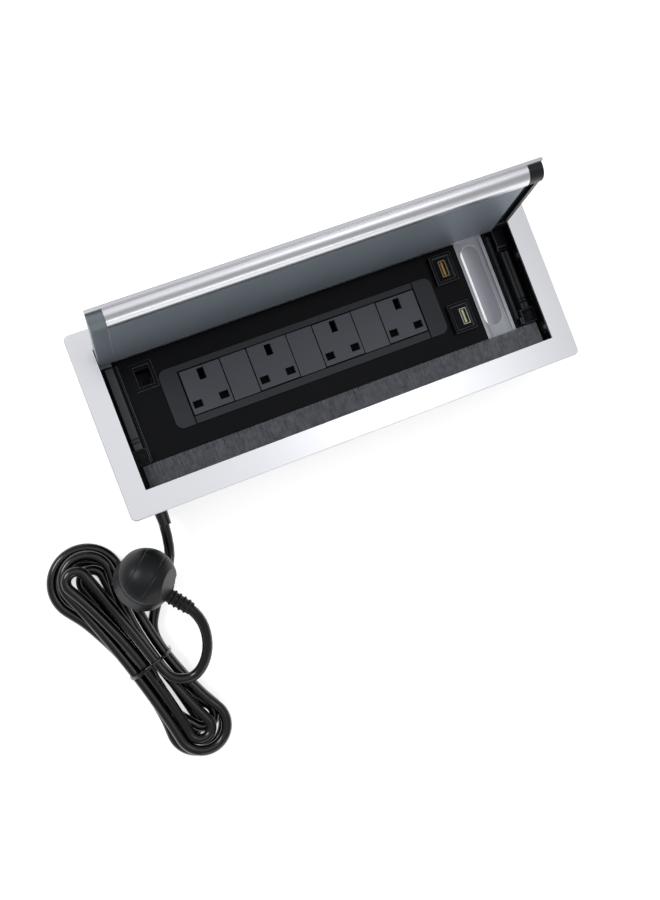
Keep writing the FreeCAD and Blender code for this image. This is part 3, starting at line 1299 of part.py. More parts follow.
def supply_lead(hank):
    """Cord from inside the box, through the gland, to the start of the hank."""
    first = V(GLAND_X, INNER_FRONT + CORD_TAIL, GLAND_HEIGHT)
    start = hank[0].valueAt(hank[0].FirstParameter)
    tangent = hank[0].tangentAt(hank[0].FirstParameter)
    points = [first] + [V(*p) for p in SUPPLY_ROUTE]
    points += [start.sub(V(tangent).multiply(SUPPLY_END_RUN)), start]
    edges, radii = bent_path(points)
    print("supply lead radii", [round(r, 1) for r in radii])
    return tube(edges, CORD_RADIUS)


def plug_lead(hank):
    """Cord from the end of the hank to the plug's strain relief."""
    end = hank[-1].valueAt(hank[-1].LastParameter)
    tangent = hank[-1].tangentAt(hank[-1].LastParameter)
    points = [end, end.add(V(tangent).multiply(PLUG_END_RUN))]
    points += [V(*p) for p in PLUG_ROUTE]
    points += [plug_cord_end(PLUG_START_RUN), plug_cord_end(-PLUG_CORD_SEAT)]
    edges, radii = bent_path(points)
    print("plug lead radii", [round(r, 1) for r in radii])
    return tube(edges, CORD_RADIUS)


def main():
    save("bezel_frame", bezel_frame())
    save("box_body", box_body())
    save("bottom_cover", bottom_cover())
    save("frame_screws", frame_screws())
    save("cover_screws", cover_screws())
    save("deck_plate", deck_plate())
    save("strip_surround", strip_surround())
    for i, x in enumerate(SOCKET_XS):
        save("socket_face_%d" % (i + 1), socket_face(x))
        save("socket_shutter_%d" % (i + 1), shutter(x))
    for i, x in enumerate(BLANK_XS):
        save("blank_tile_%d" % (i + 1), blank_tile(x))
    save("socket_base", socket_base())
    save("shutter_springs", shutter_springs())
    save("live_busbar", line_busbar(-1))
    save("neutral_busbar", line_busbar(1))
    save("earth_busbar", earth_busbar())
    for i in range(len(USB_Y)):
        save("usb_housing_%d" % (i + 1), usb_housing(i))
    save("usb_shells", usb_shells())
    save("usb_tongues", usb_tongues())
    save("usb_board", usb_board())
    save("network_bezel", network_bezel())
    save("network_jack", network_jack())
    save("network_contacts", network_contacts())
    save("cable_chute", cable_chute())
    save("brush_rail", brush_rail())
    save("brush_bristles", brush_bristles())
    save("side_rail_left", side_rail(-1, RAIL_REAR_LEFT))
    save("side_rail_right", side_rail(1, RAIL_REAR_RIGHT))
    save("stop_block_left", stop_block(-1))
    save("stop_block_right", stop_block(1))
    save("buffers", buffers())
    save("rear_block_left", rear_block(-1, RAIL_REAR_LEFT))
    save("rear_block_right", rear_block(1, RAIL_REAR_RIGHT))
    for side, label in ((-1, "left"), (1, "right")):
        save("hinge_bracket_" + label, hinge_bracket(side))
        save("lid_cap_" + label, lid_cap(side))
    save("hinge_pins", group([hinge_pin(side) for side in (-1, 1)]))
    save("hinge_bushes", group([hinge_bush(side) for side in (-1, 1)]))
    save("lid_panel", lid_panel())
    save("lid_inner_panel", lid_inner_panel())
    save("cord_gland", cord_gland())
    hank, edges = cord_hank()
    save("cord_hank", hank)
    save("hank_tie", hank_tie())
    save("supply_lead", supply_lead(edges))
    save("plug_lead", plug_lead(edges))
    save("plug_base", plug_base())
    save("plug_cover", plug_cover())
    save("plug_relief", plug_relief())
    save("plug_pins", plug_pins())
    save("plug_fuse", plug_fuse())


main()
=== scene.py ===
"""The look of a desk socket box: its finishes, its fine pieces, its mains lead and the studio.

Lengths are in millimetres and angles in degrees, unless a comment says otherwise.
"""
import logging
import math
from dataclasses import dataclass, field
from enum import Enum
from typing import Callable

import bmesh
import bpy
import numpy as np
from mathutils import Euler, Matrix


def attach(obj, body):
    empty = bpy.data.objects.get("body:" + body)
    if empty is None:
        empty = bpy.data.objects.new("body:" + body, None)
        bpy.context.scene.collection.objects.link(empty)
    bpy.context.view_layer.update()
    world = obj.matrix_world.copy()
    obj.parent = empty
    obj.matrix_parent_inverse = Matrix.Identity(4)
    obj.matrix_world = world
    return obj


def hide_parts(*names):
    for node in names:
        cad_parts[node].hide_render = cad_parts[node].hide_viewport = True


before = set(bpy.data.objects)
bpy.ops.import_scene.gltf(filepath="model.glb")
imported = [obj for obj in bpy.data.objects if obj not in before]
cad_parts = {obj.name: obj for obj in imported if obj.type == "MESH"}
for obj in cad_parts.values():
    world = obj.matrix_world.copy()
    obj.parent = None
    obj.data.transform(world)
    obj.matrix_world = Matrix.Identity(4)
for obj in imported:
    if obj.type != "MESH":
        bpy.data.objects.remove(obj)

LOG = logging.getLogger("desk_socket_box")
MM = 0.001
PER_METRE = 1000
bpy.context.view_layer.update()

# The noise of a finish: its octaves, the shares that slow patches and fine grain have in the
# drift of colour, the range that their sum keeps to, and how strongly the grain tilts light.
PATCH_OCTAVES = 3.0
GRAIN_OCTAVES = 4.0
GRAIN_ROUGHNESS = 0.6
PATCH_SHARE = 0.55
GRAIN_SHARE = 0.45
NOISE_RANGE = (0.3, 0.7)
RELIEF_STRENGTH = 0.9
COAT_ROUGHNESS = 0.15

# A stretch of Y that takes in the whole of any piece, in millimetres.
EVERYWHERE = (-1e6, 1e6)
# Points nearer than this are one, and edges shorter than this go, in metres.
WELD = 1e-6
SLIVER = 1e-7
# Faces that meet at more than this stay sharp.
SHARP_DEGREES = 32.0
# For a copy of a CAD node: how near its corners are joined, in metres, the angle below which
# two faces are made one, and the angle above which they stay sharp.
COPY_WELD = 2e-6
COPY_FLAT_DEGREES = 0.4
COPY_SHARP_DEGREES = 25.0
# A copy's edges above this angle are eased, with this many faces across each.
EASED_DEGREES = 35.0
EASED_STEPS = 2
# Steps round a small turned piece.
ROUND_STEPS = 64


class Texture(Enum):
    """How a surface was made, which gives its fine relief."""

    MOULDED = "grain of a spark-eroded mould"
    BRUSHED = "long scratches along the extrusion"
    POWDER = "orange peel of baked powder"
    DRAWN = "soft streaks along a drawn or extruded cord"
    COMBED = "streaks along fibres that lie side by side"


# Scale of the grain along X, Y and Z where it isn't even: the smaller, the longer it is drawn.
GRAIN_STRETCH = {Texture.BRUSHED: (0.012, 1.0, 1.0), Texture.DRAWN: (0.15, 1.0, 1.0),
                 Texture.COMBED: (1.0, 0.08, 1.0)}
EVEN_GRAIN = (1.0, 1.0, 1.0)


class Body(Enum):
    """The bodies of the model that pieces ride on."""

    BOX = "box"
    LID = "lid"


def linear(code: str) -> tuple[float, float, float, float]:
    """Turns an sRGB hex colour to linear light.

    Args:
        code: six hex digits, such as "8a929a".

    Returns:
        Red, green, blue and an alpha of 1.
    """
    values = (int(code[i:i + 2], 16) / 255 for i in (0, 2, 4))
    return (*(v / 12.92 if v <= 0.04045 else ((v + 0.055) / 1.055) ** 2.4 for v in values), 1.0)


def add_node(tree: bpy.types.NodeTree, kind: str, inputs: dict,
             **options: object) -> bpy.types.Node:
    """Adds one node with its settings and links.

    Args:
        tree: the material's node tree.
        kind: Blender's name of the node type.
        inputs: per input name or number, a value or the socket that feeds it.
        options: the node's own properties.

    Returns:
        The new node.
    """
    node = tree.nodes.new(kind)
    for key, value in options.items():
        setattr(node, key, value)
    for key, value in inputs.items():
        if isinstance(value, bpy.types.NodeSocket):
            tree.links.new(value, node.inputs[key])
        else:
            node.inputs[key].default_value = value
    return node


@dataclass(frozen=True)
class Finish:
    """One real material: its colour, gloss and fine relief, with pattern sizes in millimetres."""

    name: str
    slot: str
    colour: str
    tint: str
    rough: float
    rough_to: float
    texture: Texture = Texture.MOULDED
    grain_mm: float = 0.9
    relief_mm: float = 0.02
    patch_mm: float = 45.0
    metallic: float = 0.0
    ior: float = 1.5
    coat: float = 0.0
    specular: float = 0.5
    glow: float = 0.0

    def build(self) -> bpy.types.Material:
        """Makes the material once: slow patches drift the colour, and fine grain drives the bump.

        Returns:
            The material, taken from the file where it is already there.
        """
        if self.name in bpy.data.materials:
            return bpy.data.materials[self.name]
        material = bpy.data.materials.new(self.name)
        material.use_nodes = True
        tree = material.node_tree
        tree.nodes.clear()
        place = add_node(tree, "ShaderNodeTexCoord", {}).outputs["Object"]
        drawn = add_node(tree, "ShaderNodeMapping",
                         {"Vector": place,
                          "Scale": GRAIN_STRETCH.get(self.texture, EVEN_GRAIN)})
        patches = add_node(tree, "ShaderNodeTexNoise",
                           {"Vector": place, "Scale": PER_METRE / self.patch_mm,
                            "Detail": PATCH_OCTAVES})
        grain = add_node(tree, "ShaderNodeTexNoise",
                         {"Vector": drawn.outputs["Vector"],
                          "Scale": PER_METRE / self.grain_mm,
                          "Detail": GRAIN_OCTAVES, "Roughness": GRAIN_ROUGHNESS})
        mottle = add_node(tree, "ShaderNodeMath",
                          {0: grain.outputs["Fac"], 1: GRAIN_SHARE, 2: 0.0},
                          operation="MULTIPLY_ADD")
        blend = add_node(tree, "ShaderNodeMath",
                         {0: patches.outputs["Fac"], 1: PATCH_SHARE, 2: mottle.outputs["Value"]},
                         operation="MULTIPLY_ADD")
        colour = add_node(tree, "ShaderNodeMix", {"Factor": blend.outputs["Value"]},
                          data_type="RGBA")
        colour.inputs["A"].default_value = linear(self.colour)
        colour.inputs["B"].default_value = linear(self.tint)
        gloss = add_node(tree, "ShaderNodeMapRange",
                         {"Value": blend.outputs["Value"], "From Min": NOISE_RANGE[0],
                          "From Max": NOISE_RANGE[1], "To Min": self.rough,
                          "To Max": self.rough_to})
        bump = add_node(tree, "ShaderNodeBump",
                        {"Height": grain.outputs["Fac"], "Distance": self.relief_mm * MM,
                         "Strength": RELIEF_STRENGTH})
        shader = add_node(tree, "ShaderNodeBsdfPrincipled",
                          {"Base Color": colour.outputs["Result"], "Metallic": self.metallic,
                           "Roughness": gloss.outputs["Result"], "IOR": self.ior,
                           "Coat Weight": self.coat, "Coat Roughness": COAT_ROUGHNESS,
                           "Specular IOR Level": self.specular,
                           "Normal": bump.outputs["Normal"]})
        if self.glow:
            shader.inputs["Emission Color"].default_value = linear(self.tint)
            shader.inputs["Emission Strength"].default_value = self.glow
        add_node(tree, "ShaderNodeOutputMaterial", {"Surface": shader.outputs["BSDF"]})
        return material


# Anodised aluminium, satin: brushed along its length and then anodised, a soft near-white gloss.
# Its scratches are really about 0.05 mm wide and are drawn at 0.5 mm so that they show.
ALUMINIUM = Finish("satin_anodised_aluminium", "satin_aluminium", "dfe0e6", "ebecf0", 0.26, 0.34,
                   Texture.BRUSHED, 0.5, 0.006, 60.0, metallic=0.95)
# The same metal on the eased edges, painted darker and a little sharper: a painted shade for the
# thin dark line along the edges.
ALUMINIUM_EDGE_SHADE = Finish("aluminium_edge_painted_shade", "satin_aluminium", "7c7e83", "8e9095", 0.24, 0.32,
                        Texture.BRUSHED, 0.4, 0.004, 30.0, metallic=1.0)
# Black polyester powder coat on sheet steel: fine orange peel of about 1 mm.
POWDER_BLACK = Finish("black_powder_coat", "powder_black", "101113", "161719", 0.42, 0.52,
                      Texture.POWDER, 1.0, 0.02, specular=0.3)
# Moulded black ABS with a matt spark-eroded grain, which hides fingerprints.
DECK_ABS = Finish("moulded_black_abs", "deck_black", "08090c", "0d0f13", 0.38, 0.48,
                  Texture.MOULDED, 0.8, 0.015, specular=0.1)
# Moulded polycarbonate of the socket strip: dark blue-grey, smoother than the deck.
TILE_PC = Finish("moulded_graphite_polycarbonate", "tile_graphite", "42464f", "4a4e58", 0.3, 0.4,
                 Texture.MOULDED, 0.7, 0.005, 30.0, ior=1.58, specular=0.3)
# The strip's surround, moulded in the same plastic with less gloss, so that it looks darker.
SURROUND_PC = Finish("matt_graphite_polycarbonate", "tile_graphite", "272a30", "2e3138", 0.42, 0.5,
                     Texture.MOULDED, 0.8, 0.008, 30.0, ior=1.58, specular=0.25)
# Painted highlight on the rims of the tiles and other dark mouldings: their eased edges are
# painted lighter and glossier than the faces, for the thin light lines along the edges.
TILE_EDGE_HIGHLIGHT = Finish("graphite_rim_painted_highlight", "tile_graphite", "4c4f58", "575b65", 0.25, 0.35,
                   Texture.MOULDED, 0.7, 0.004, 30.0, ior=1.58)
# Painted shade: near-black on the eased edges where two mouldings meet, for the shadow gap between
# them, and on the shutters behind the slots, for the shade inside them.
JOINT_PAINTED_SHADE = Finish("shadowed_moulding_joint", "deck_black", "040405", "070708", 0.6, 0.7,
                     Texture.MOULDED, 0.7, 0.004, specular=0.1)
# Anodised aluminium sheet, dyed slate: a blue-grey with a faint grain along its length.
SLATE = Finish("slate_anodised_sheet", "panel_slate", "7b868f", "8b959e", 0.36, 0.46,
               Texture.BRUSHED, 0.6, 0.006, 50.0, metallic=0.3)
# The slate sheet's edge, painted lighter than the sheet: a painted highlight for the light border
# along it.
SLATE_EDGE_HIGHLIGHT = Finish("slate_edge_painted_highlight", "panel_slate", "929ba3", "a4acb3", 0.3, 0.4,
                    Texture.BRUSHED, 0.6, 0.004, 50.0, metallic=0.2)
# Moulded grey ABS of the lid's left end cap and of the block behind the left rail.
CAP_GREY = Finish("moulded_grey_abs", "cap_grey", "6c757d", "7a838a", 0.36, 0.46,
                  Texture.MOULDED, 0.8, 0.01)
# Moulded black ABS of the lid's right end cap and of the right side rail.
CAP_BLACK = Finish("moulded_black_cap_abs", "deck_black", "121315", "1b1d20", 0.3, 0.4,
                   Texture.MOULDED, 0.7, 0.01, specular=0.35)
# Textured dark-grey ABS of the left side rail.
RAIL_ABS = Finish("textured_grey_abs", "deck_black", "32343a", "404248", 0.34, 0.44,
                  Texture.MOULDED, 1.1, 0.03, specular=0.4)
# Moulded light-grey PVC of the pass-through sleeve.
CHUTE_PVC = Finish("moulded_light_grey_pvc", "chute_grey", "b2b4be", "bfc1ca", 0.4, 0.5,
                   Texture.MOULDED, 0.9, 0.01, ior=1.52)
# The sleeve's rim, painted paler than its walls: a painted highlight for the bright lines round
# the opening.
CHUTE_RIM_HIGHLIGHT = Finish("grey_pvc_rim_painted_highlight", "chute_grey", "e2e4e8", "eeeff2", 0.3, 0.38,
                   Texture.MOULDED, 0.9, 0.004, ior=1.52)
# Nylon bristles, dyed grey: each is smooth, and the mass of them looks matt. The streaks are
# painted shade: they run from the bristles' own grey to black, for the dark of the shaded gaps
# between them.
BRISTLE = Finish("grey_nylon_bristle", "brush_grey", "000000", "bcbfc8", 0.35, 0.5,
                 Texture.COMBED, 0.9, 0.002, 4.0, ior=1.53)
# White nylon 66 of the hinge bushes: slightly translucent in life, drawn opaque.
INNER_NYLON = Finish("moulded_white_nylon", "inner_white", "d9d8d1", "e4e3dd", 0.4, 0.5,
                     Texture.MOULDED, 0.8, 0.008, ior=1.53)
# Rolled brass of the contact bars and the network port's contacts, painted near-black: a painted
# shade for the dark deep in the slots and the port.
BRASS_PAINTED_SHADE = Finish("rolled_brass_painted_shade", "brass", "14100a", "1c160e", 0.45, 0.55,
               Texture.BRUSHED, 0.4, 0.003, 20.0, metallic=1.0)
# Nickel-plated brass of the plug's pins: a soft grey shine.
PIN_METAL = Finish("nickel_plated_brass", "brass", "b6b4ac", "c6c4bd", 0.22, 0.32,
                   Texture.BRUSHED, 0.4, 0.003, 20.0, metallic=1.0)
# Bright zinc-plated steel of the screws and hinge pins.
STEEL = Finish("zinc_plated_steel", "steel", "a9abae", "bcbec1", 0.22, 0.32,
               Texture.BRUSHED, 0.5, 0.003, 12.0, metallic=1.0)
# Phosphated spring steel, nearly black, of the shutters' springs.
SPRING_STEEL = Finish("phosphated_spring_steel", "steel", "0b0b0c", "121213", 0.5, 0.6,
                      Texture.MOULDED, 0.6, 0.004, metallic=0.4)
# Gold flash over nickel on the chargers' contacts and on the first one's shell.
GILT = Finish("gold_flashed_nickel", "gilt", "9c7f55", "b3976a", 0.24, 0.34,
              Texture.BRUSHED, 0.4, 0.002, 10.0, metallic=0.8)
# Nickel-plated steel of the second charger's shell.
NICKEL = Finish("nickel_plated_steel", "steel", "b3b2ad", "c4c3be", 0.2, 0.28,
                Texture.BRUSHED, 0.4, 0.002, 10.0, metallic=1.0)
# Glass-epoxy board under green solder resist.
BOARD = Finish("green_solder_resist", "board_green", "1d5138", "246045", 0.3, 0.4,
               Texture.MOULDED, 1.2, 0.01, coat=0.4)
# Moulded PBT tongue of the second charger, pale yellow-green.
TONGUE_LIME = Finish("moulded_lime_pbt", "tongue_lime", "c9cf9c", "dde1b8", 0.4, 0.5,
                     Texture.MOULDED, 0.6, 0.006)
# The same plastic in amber, of the first charger's tongue.
TONGUE_AMBER = Finish("moulded_amber_pbt", "tongue_lime", "a8835c", "bd966c", 0.35, 0.45,
                      Texture.MOULDED, 0.6, 0.003)
# Extruded PVC sheath of the mains lead: glossy black, with faint streaks from the die.
CORD_PVC = Finish("extruded_black_pvc", "cord_black", "040405", "08090b", 0.16, 0.22,
                  Texture.DRAWN, 3.0, 0.01, 25.0, ior=1.53, specular=0.5)
# Moulded rubberised PVC of the plug: satin black.
PLUG_PVC = Finish("moulded_black_pvc", "plug_black", "0e1013", "15171b", 0.34, 0.44,
                  Texture.MOULDED, 0.9, 0.01, ior=1.53, specular=0.3)
# EPDM rubber of the lid's buffers.
RUBBER = Finish("black_epdm_rubber", "buffer_rubber", "0d0e0f", "141517", 0.6, 0.7,
                Texture.MOULDED, 0.7, 0.02, specular=0.2)
# Glazed ceramic tube of the fuse.
CERAMIC = Finish("glazed_ceramic", "fuse_white", "e6e2d6", "efece2", 0.18, 0.26,
                 Texture.MOULDED, 1.5, 0.004, ior=1.6)
# The studio's light table: matt white acrylic, lit faintly from below.
PAPER = Finish("matt_white_acrylic", "", "ececec", "f4f4f4", 0.85, 0.95,
               Texture.MOULDED, 2.0, 0.01, 400.0, glow=0.72)


def finished(obj: bpy.types.Object, finish: Finish, body: Body) -> bpy.types.Object:
    """Gives a new piece its finish and the body that it rides on.

    Args:
        obj: the piece, in place.
        finish: its main finish.
        body: the body.

    Returns:
        The same piece.
    """
    obj.data.materials.append(finish.build())
    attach(obj, body.value)
    return obj


def dress(node: str, finish: Finish) -> None:
    """Gives a CAD node that stays in view its finish.

    Args:
        node: the node's name.
        finish: its finish.
    """
    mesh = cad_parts[node].data
    mesh.materials.clear()
    mesh.materials.append(finish.build())


def new_object(name: str, data: bpy.types.ID) -> bpy.types.Object:
    """Links a mesh, curve, light or camera into the scene as an object at the origin.

    Args:
        name: the object's name.
        data: what it shows.

    Returns:
        The object.
    """
    obj = bpy.data.objects.new(name, data)
    bpy.context.scene.collection.objects.link(obj)
    return obj


def shade(mesh: bpy.types.Mesh, degrees: float) -> None:
    """Shades a mesh smooth, with sharp edges where faces meet at more than an angle."""
    mesh.polygons.foreach_set("use_smooth", np.ones(len(mesh.polygons), bool))
    mesh.set_sharp_from_angle(angle=math.radians(degrees))


def merged(node: str, name: str, y_range: tuple[float, float]) -> bpy.types.Object:
    """Copies a CAD node with its triangles joined up and its flat faces made whole.

    Args:
        node: the CAD node.
        name: the new piece's name.
        y_range: keeps only what lies between these two places, in millimetres.

    Returns:
        The copy, at the origin.
    """
    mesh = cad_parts[node].data.copy()
    mesh.name = name
    mesh.materials.clear()
    work = bmesh.new()
    work.from_mesh(mesh)
    bmesh.ops.remove_doubles(work, verts=work.verts, dist=COPY_WELD)
    outside = [v for v in work.verts if not y_range[0] < v.co.y / MM < y_range[1]]
    bmesh.ops.delete(work, geom=outside, context="VERTS")
    bmesh.ops.dissolve_limit(work, angle_limit=math.radians(COPY_FLAT_DEGREES),
                             verts=work.verts, edges=work.edges)
    work.to_mesh(mesh)
    work.free()
    return new_object(name, mesh)


def eased(node: str, radius_mm: float, finish: Finish, body: Body = Body.BOX,
          edge: Finish | None = None, name: str = "",
          y_range: tuple[float, float] = EVERYWHERE) -> bpy.types.Object:
    """Stands in for a CAD node with the same piece, its sharp edges eased.

    Args:
        node: the CAD node that it replaces.
        radius_mm: how far each sharp edge is rounded.
        finish: the main finish.
        body: the body that it rides on.
        edge: a second finish for the rounded edges.
        name: the piece's name, if not the node's.
        y_range: keeps only what lies between these two places, in millimetres.

    Returns:
        The new piece.
    """
    obj = merged(node, name or node + "_eased", y_range)
    shade(obj.data, COPY_SHARP_DEGREES)
    finished(obj, finish, body)
    bevel = obj.modifiers.new("eased_edges", "BEVEL")
    bevel.width = radius_mm * MM
    bevel.segments = EASED_STEPS
    bevel.limit_method = "ANGLE"
    bevel.angle_limit = math.radians(EASED_DEGREES)
    bevel.harden_normals = True
    bevel.use_clamp_overlap = True
    if edge:
        obj.data.materials.append(edge.build())
        bevel.material = 1
    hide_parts(node)
    return obj


def skin(name: str, points: np.ndarray, quads: np.ndarray, weld: float = WELD,
         sliver: float = SLIVER, sharp: float = SHARP_DEGREES) -> bpy.types.Object:
    """Makes a mesh of points and quads, with points that fall together merged into one.

    Args:
        name: the piece's name.
        points: rows of three coordinates, in millimetres.
        quads: rows of four places in the points.
        weld: points nearer than this are merged, in metres.
        sliver: edges shorter than this are taken out, in metres.
        sharp: faces that meet at more than this stay sharp, in degrees.

    Returns:
        The piece, at the origin, with its faces turned outwards.
    """
    mesh = bpy.data.meshes.new(name)
    mesh.from_pydata(points * MM, [], quads.tolist())
    work = bmesh.new()
    work.from_mesh(mesh)
    bmesh.ops.remove_doubles(work, verts=work.verts, dist=weld)
    bmesh.ops.dissolve_degenerate(work, edges=work.edges, dist=sliver)
    bmesh.ops.recalc_face_normals(work, faces=work.faces)
    work.to_mesh(mesh)
    work.free()
    shade(mesh, sharp)
    return new_object(name, mesh)


def surface(name: str, grids: list[np.ndarray], wrap: bool = True) -> bpy.types.Object:
    """Makes one piece of several grids of points.

    Each grid is an array of rows, columns and three coordinates in millimetres. A quad joins
    every point to the next in its row and to the same place in the next row. The points of
    seams and poles fall together, so they are merged.

    Args:
        name: the piece's name.
        grids: the grids of points.
        wrap: joins the last column of each grid to its first.

    Returns:
        The piece, at the origin.
    """
    points, quads, start = [], [], 0
    for grid in grids:
        rows, columns = grid.shape[:2]
        index = np.arange(rows * columns).reshape(rows, columns) + start
        beside = np.roll(index, -1, axis=1) if wrap else index[:, 1:]
        first = index if wrap else index[:, :-1]
        quads.append(np.stack([first[:-1], beside[:-1], beside[1:], first[1:]], -1).reshape(-1, 4))
        points.append(grid.reshape(-1, 3))
        start += rows * columns
    return skin(name, np.concatenate(points), np.concatenate(quads))


def turned(profile: np.ndarray, segments: int) -> np.ndarray:
    """Carries a profile round the Z axis.

    A point at radius r and height z becomes r cos t, r sin t, z for t over the full turn.

    Args:
        profile: rows of radius and height, in millimetres.
        segments: steps round the axis.

    Returns:
        The grid of points, one row per profile point.
    """
    t = np.linspace(0, 2 * np.pi, segments, endpoint=False)
    r, z = profile[:, :1], profile[:, 1:]
    return np.stack([r * np.cos(t), r * np.sin(t), z + 0 * t], -1)


def swept(path: np.ndarray, section: np.ndarray, up: np.ndarray) -> np.ndarray:
    """Carries a closed section along an open path, with both ends closed to a point.

    At each point the section's first axis is up crossed with the path's direction, and its
    second is the direction crossed with the first, so the section never twists.

    Args:
        path: points along the middle, in millimetres.
        section: rows of two coordinates, in millimetres.
        up: the direction that the section's second axis leans to.

    Returns:
        The grid of points, one row per path point and one more at each end.
    """
    way = np.gradient(path, axis=0)
    way /= np.linalg.norm(way, axis=1, keepdims=True)
    side = np.cross(up, way)
    side /= np.linalg.norm(side, axis=1, keepdims=True)
    over = np.cross(way, side)
    rings = (path[:, None] + side[:, None] * section[None, :, :1]
             + over[:, None] * section[None, :, 1:])
    ends = [np.repeat(path[i][None, None], section.shape[0], axis=1) for i in (0, -1)]
    return np.concatenate([ends[0], rings, ends[1]])


def oval(width: float, height: float, count: int, power: float = 2.0) -> np.ndarray:
    """A closed rounded section: |x/a|^p + |y/b|^p = 1, walked by its angle.

    Args:
        width: full width in millimetres.
        height: full height in millimetres.
        count: points round it.
        power: 2 is an ellipse, and more is squarer.

    Returns:
        Rows of two coordinates.
    """
    t = np.linspace(0, 2 * np.pi, count, endpoint=False)
    c, s = np.cos(t), np.sin(t)
    return np.stack([width / 2 * np.sign(c) * np.abs(c) ** (2 / power),
                     height / 2 * np.sign(s) * np.abs(s) ** (2 / power)], -1)


def slab(x: tuple[float, float], y: tuple[float, float], low: float, steps: tuple[int, int],
         height: Callable[[np.ndarray, np.ndarray], np.ndarray]) -> list[np.ndarray]:
    """A closed block whose top is a height over the plan, z = f(x, y).

    Args:
        x: its two ends along X.
        y: its two ends along Y.
        low: its flat underside.
        steps: points along X and Y.
        height: gives the top's height for arrays of x and y.

    Returns:
        Grids for the top, the underside and the four walls.
    """
    gx, gy = np.meshgrid(np.linspace(*x, steps[0]), np.linspace(*y, steps[1]), indexing="ij")
    top = np.stack([gx, gy, height(gx, gy)], -1)
    under = np.stack([gx, gy, np.full_like(gx, low)], -1)
    walls = [np.stack([top[0], under[0]]), np.stack([top[-1], under[-1]]),
             np.stack([top[:, 0], under[:, 0]]), np.stack([top[:, -1], under[:, -1]])]
    return [top, under, *walls]


@dataclass
class BezelFrame:
    """The satin frame round the opening, with its screws below."""

    edge_mm: float = 0.4

    def build(self) -> None:
        """Eases the frame's edges and dresses its hidden fasteners."""
        # The frame's eased edges carry a painted shade, darker than its faces.
        eased("bezel_frame", self.edge_mm, ALUMINIUM, edge=ALUMINIUM_EDGE_SHADE)
        dress("frame_screws", STEEL)
        LOG.info("bezel frame")


@dataclass
class Case:
    """The case below the desk: its body, its bottom cover and the cover's screws."""

    body_edge_mm: float = 0.5
    cover_edge_mm: float = 0.4

    def build(self) -> None:
        """Eases the case's edges and dresses the screws."""
        eased("box_body", self.body_edge_mm, POWDER_BLACK)
        eased("bottom_cover", self.cover_edge_mm, POWDER_BLACK)
        dress("cover_screws", STEEL)
        LOG.info("case")


@dataclass
class Deck:
    """The sunk deck with its socket strip of four sockets and three blank tiles."""

    edge_mm: float = 0.3
    tile_edge_mm: float = 0.35
    socket_edge_mm: float = 0.4
    surround_edge_mm: float = 0.7
    sockets: int = 4
    blanks: int = 3

    def build(self) -> None:
        """Eases the deck and tiles, and dresses what lies under them."""
        # The deck's and blank tiles' eased edges carry a painted highlight, and the surround's and
        # sockets' a painted shade.
        eased("deck_plate", self.edge_mm, DECK_ABS, edge=TILE_EDGE_HIGHLIGHT)
        eased("strip_surround", self.surround_edge_mm, SURROUND_PC, edge=JOINT_PAINTED_SHADE)
        for i in range(self.sockets):
            eased(f"socket_face_{i + 1}", self.socket_edge_mm, TILE_PC, edge=JOINT_PAINTED_SHADE)
            dress(f"socket_shutter_{i + 1}", JOINT_PAINTED_SHADE)
        for i in range(self.blanks):
            eased(f"blank_tile_{i + 1}", self.tile_edge_mm, TILE_PC, edge=TILE_EDGE_HIGHLIGHT)
        dress("socket_base", DECK_ABS)
        dress("shutter_springs", SPRING_STEEL)
        # The contact bars are painted near-black, a painted shade for the dark inside the slots.
        for bar in ("live_busbar", "neutral_busbar", "earth_busbar"):
            dress(bar, BRASS_PAINTED_SHADE)
        LOG.info("deck and %d sockets", self.sockets)


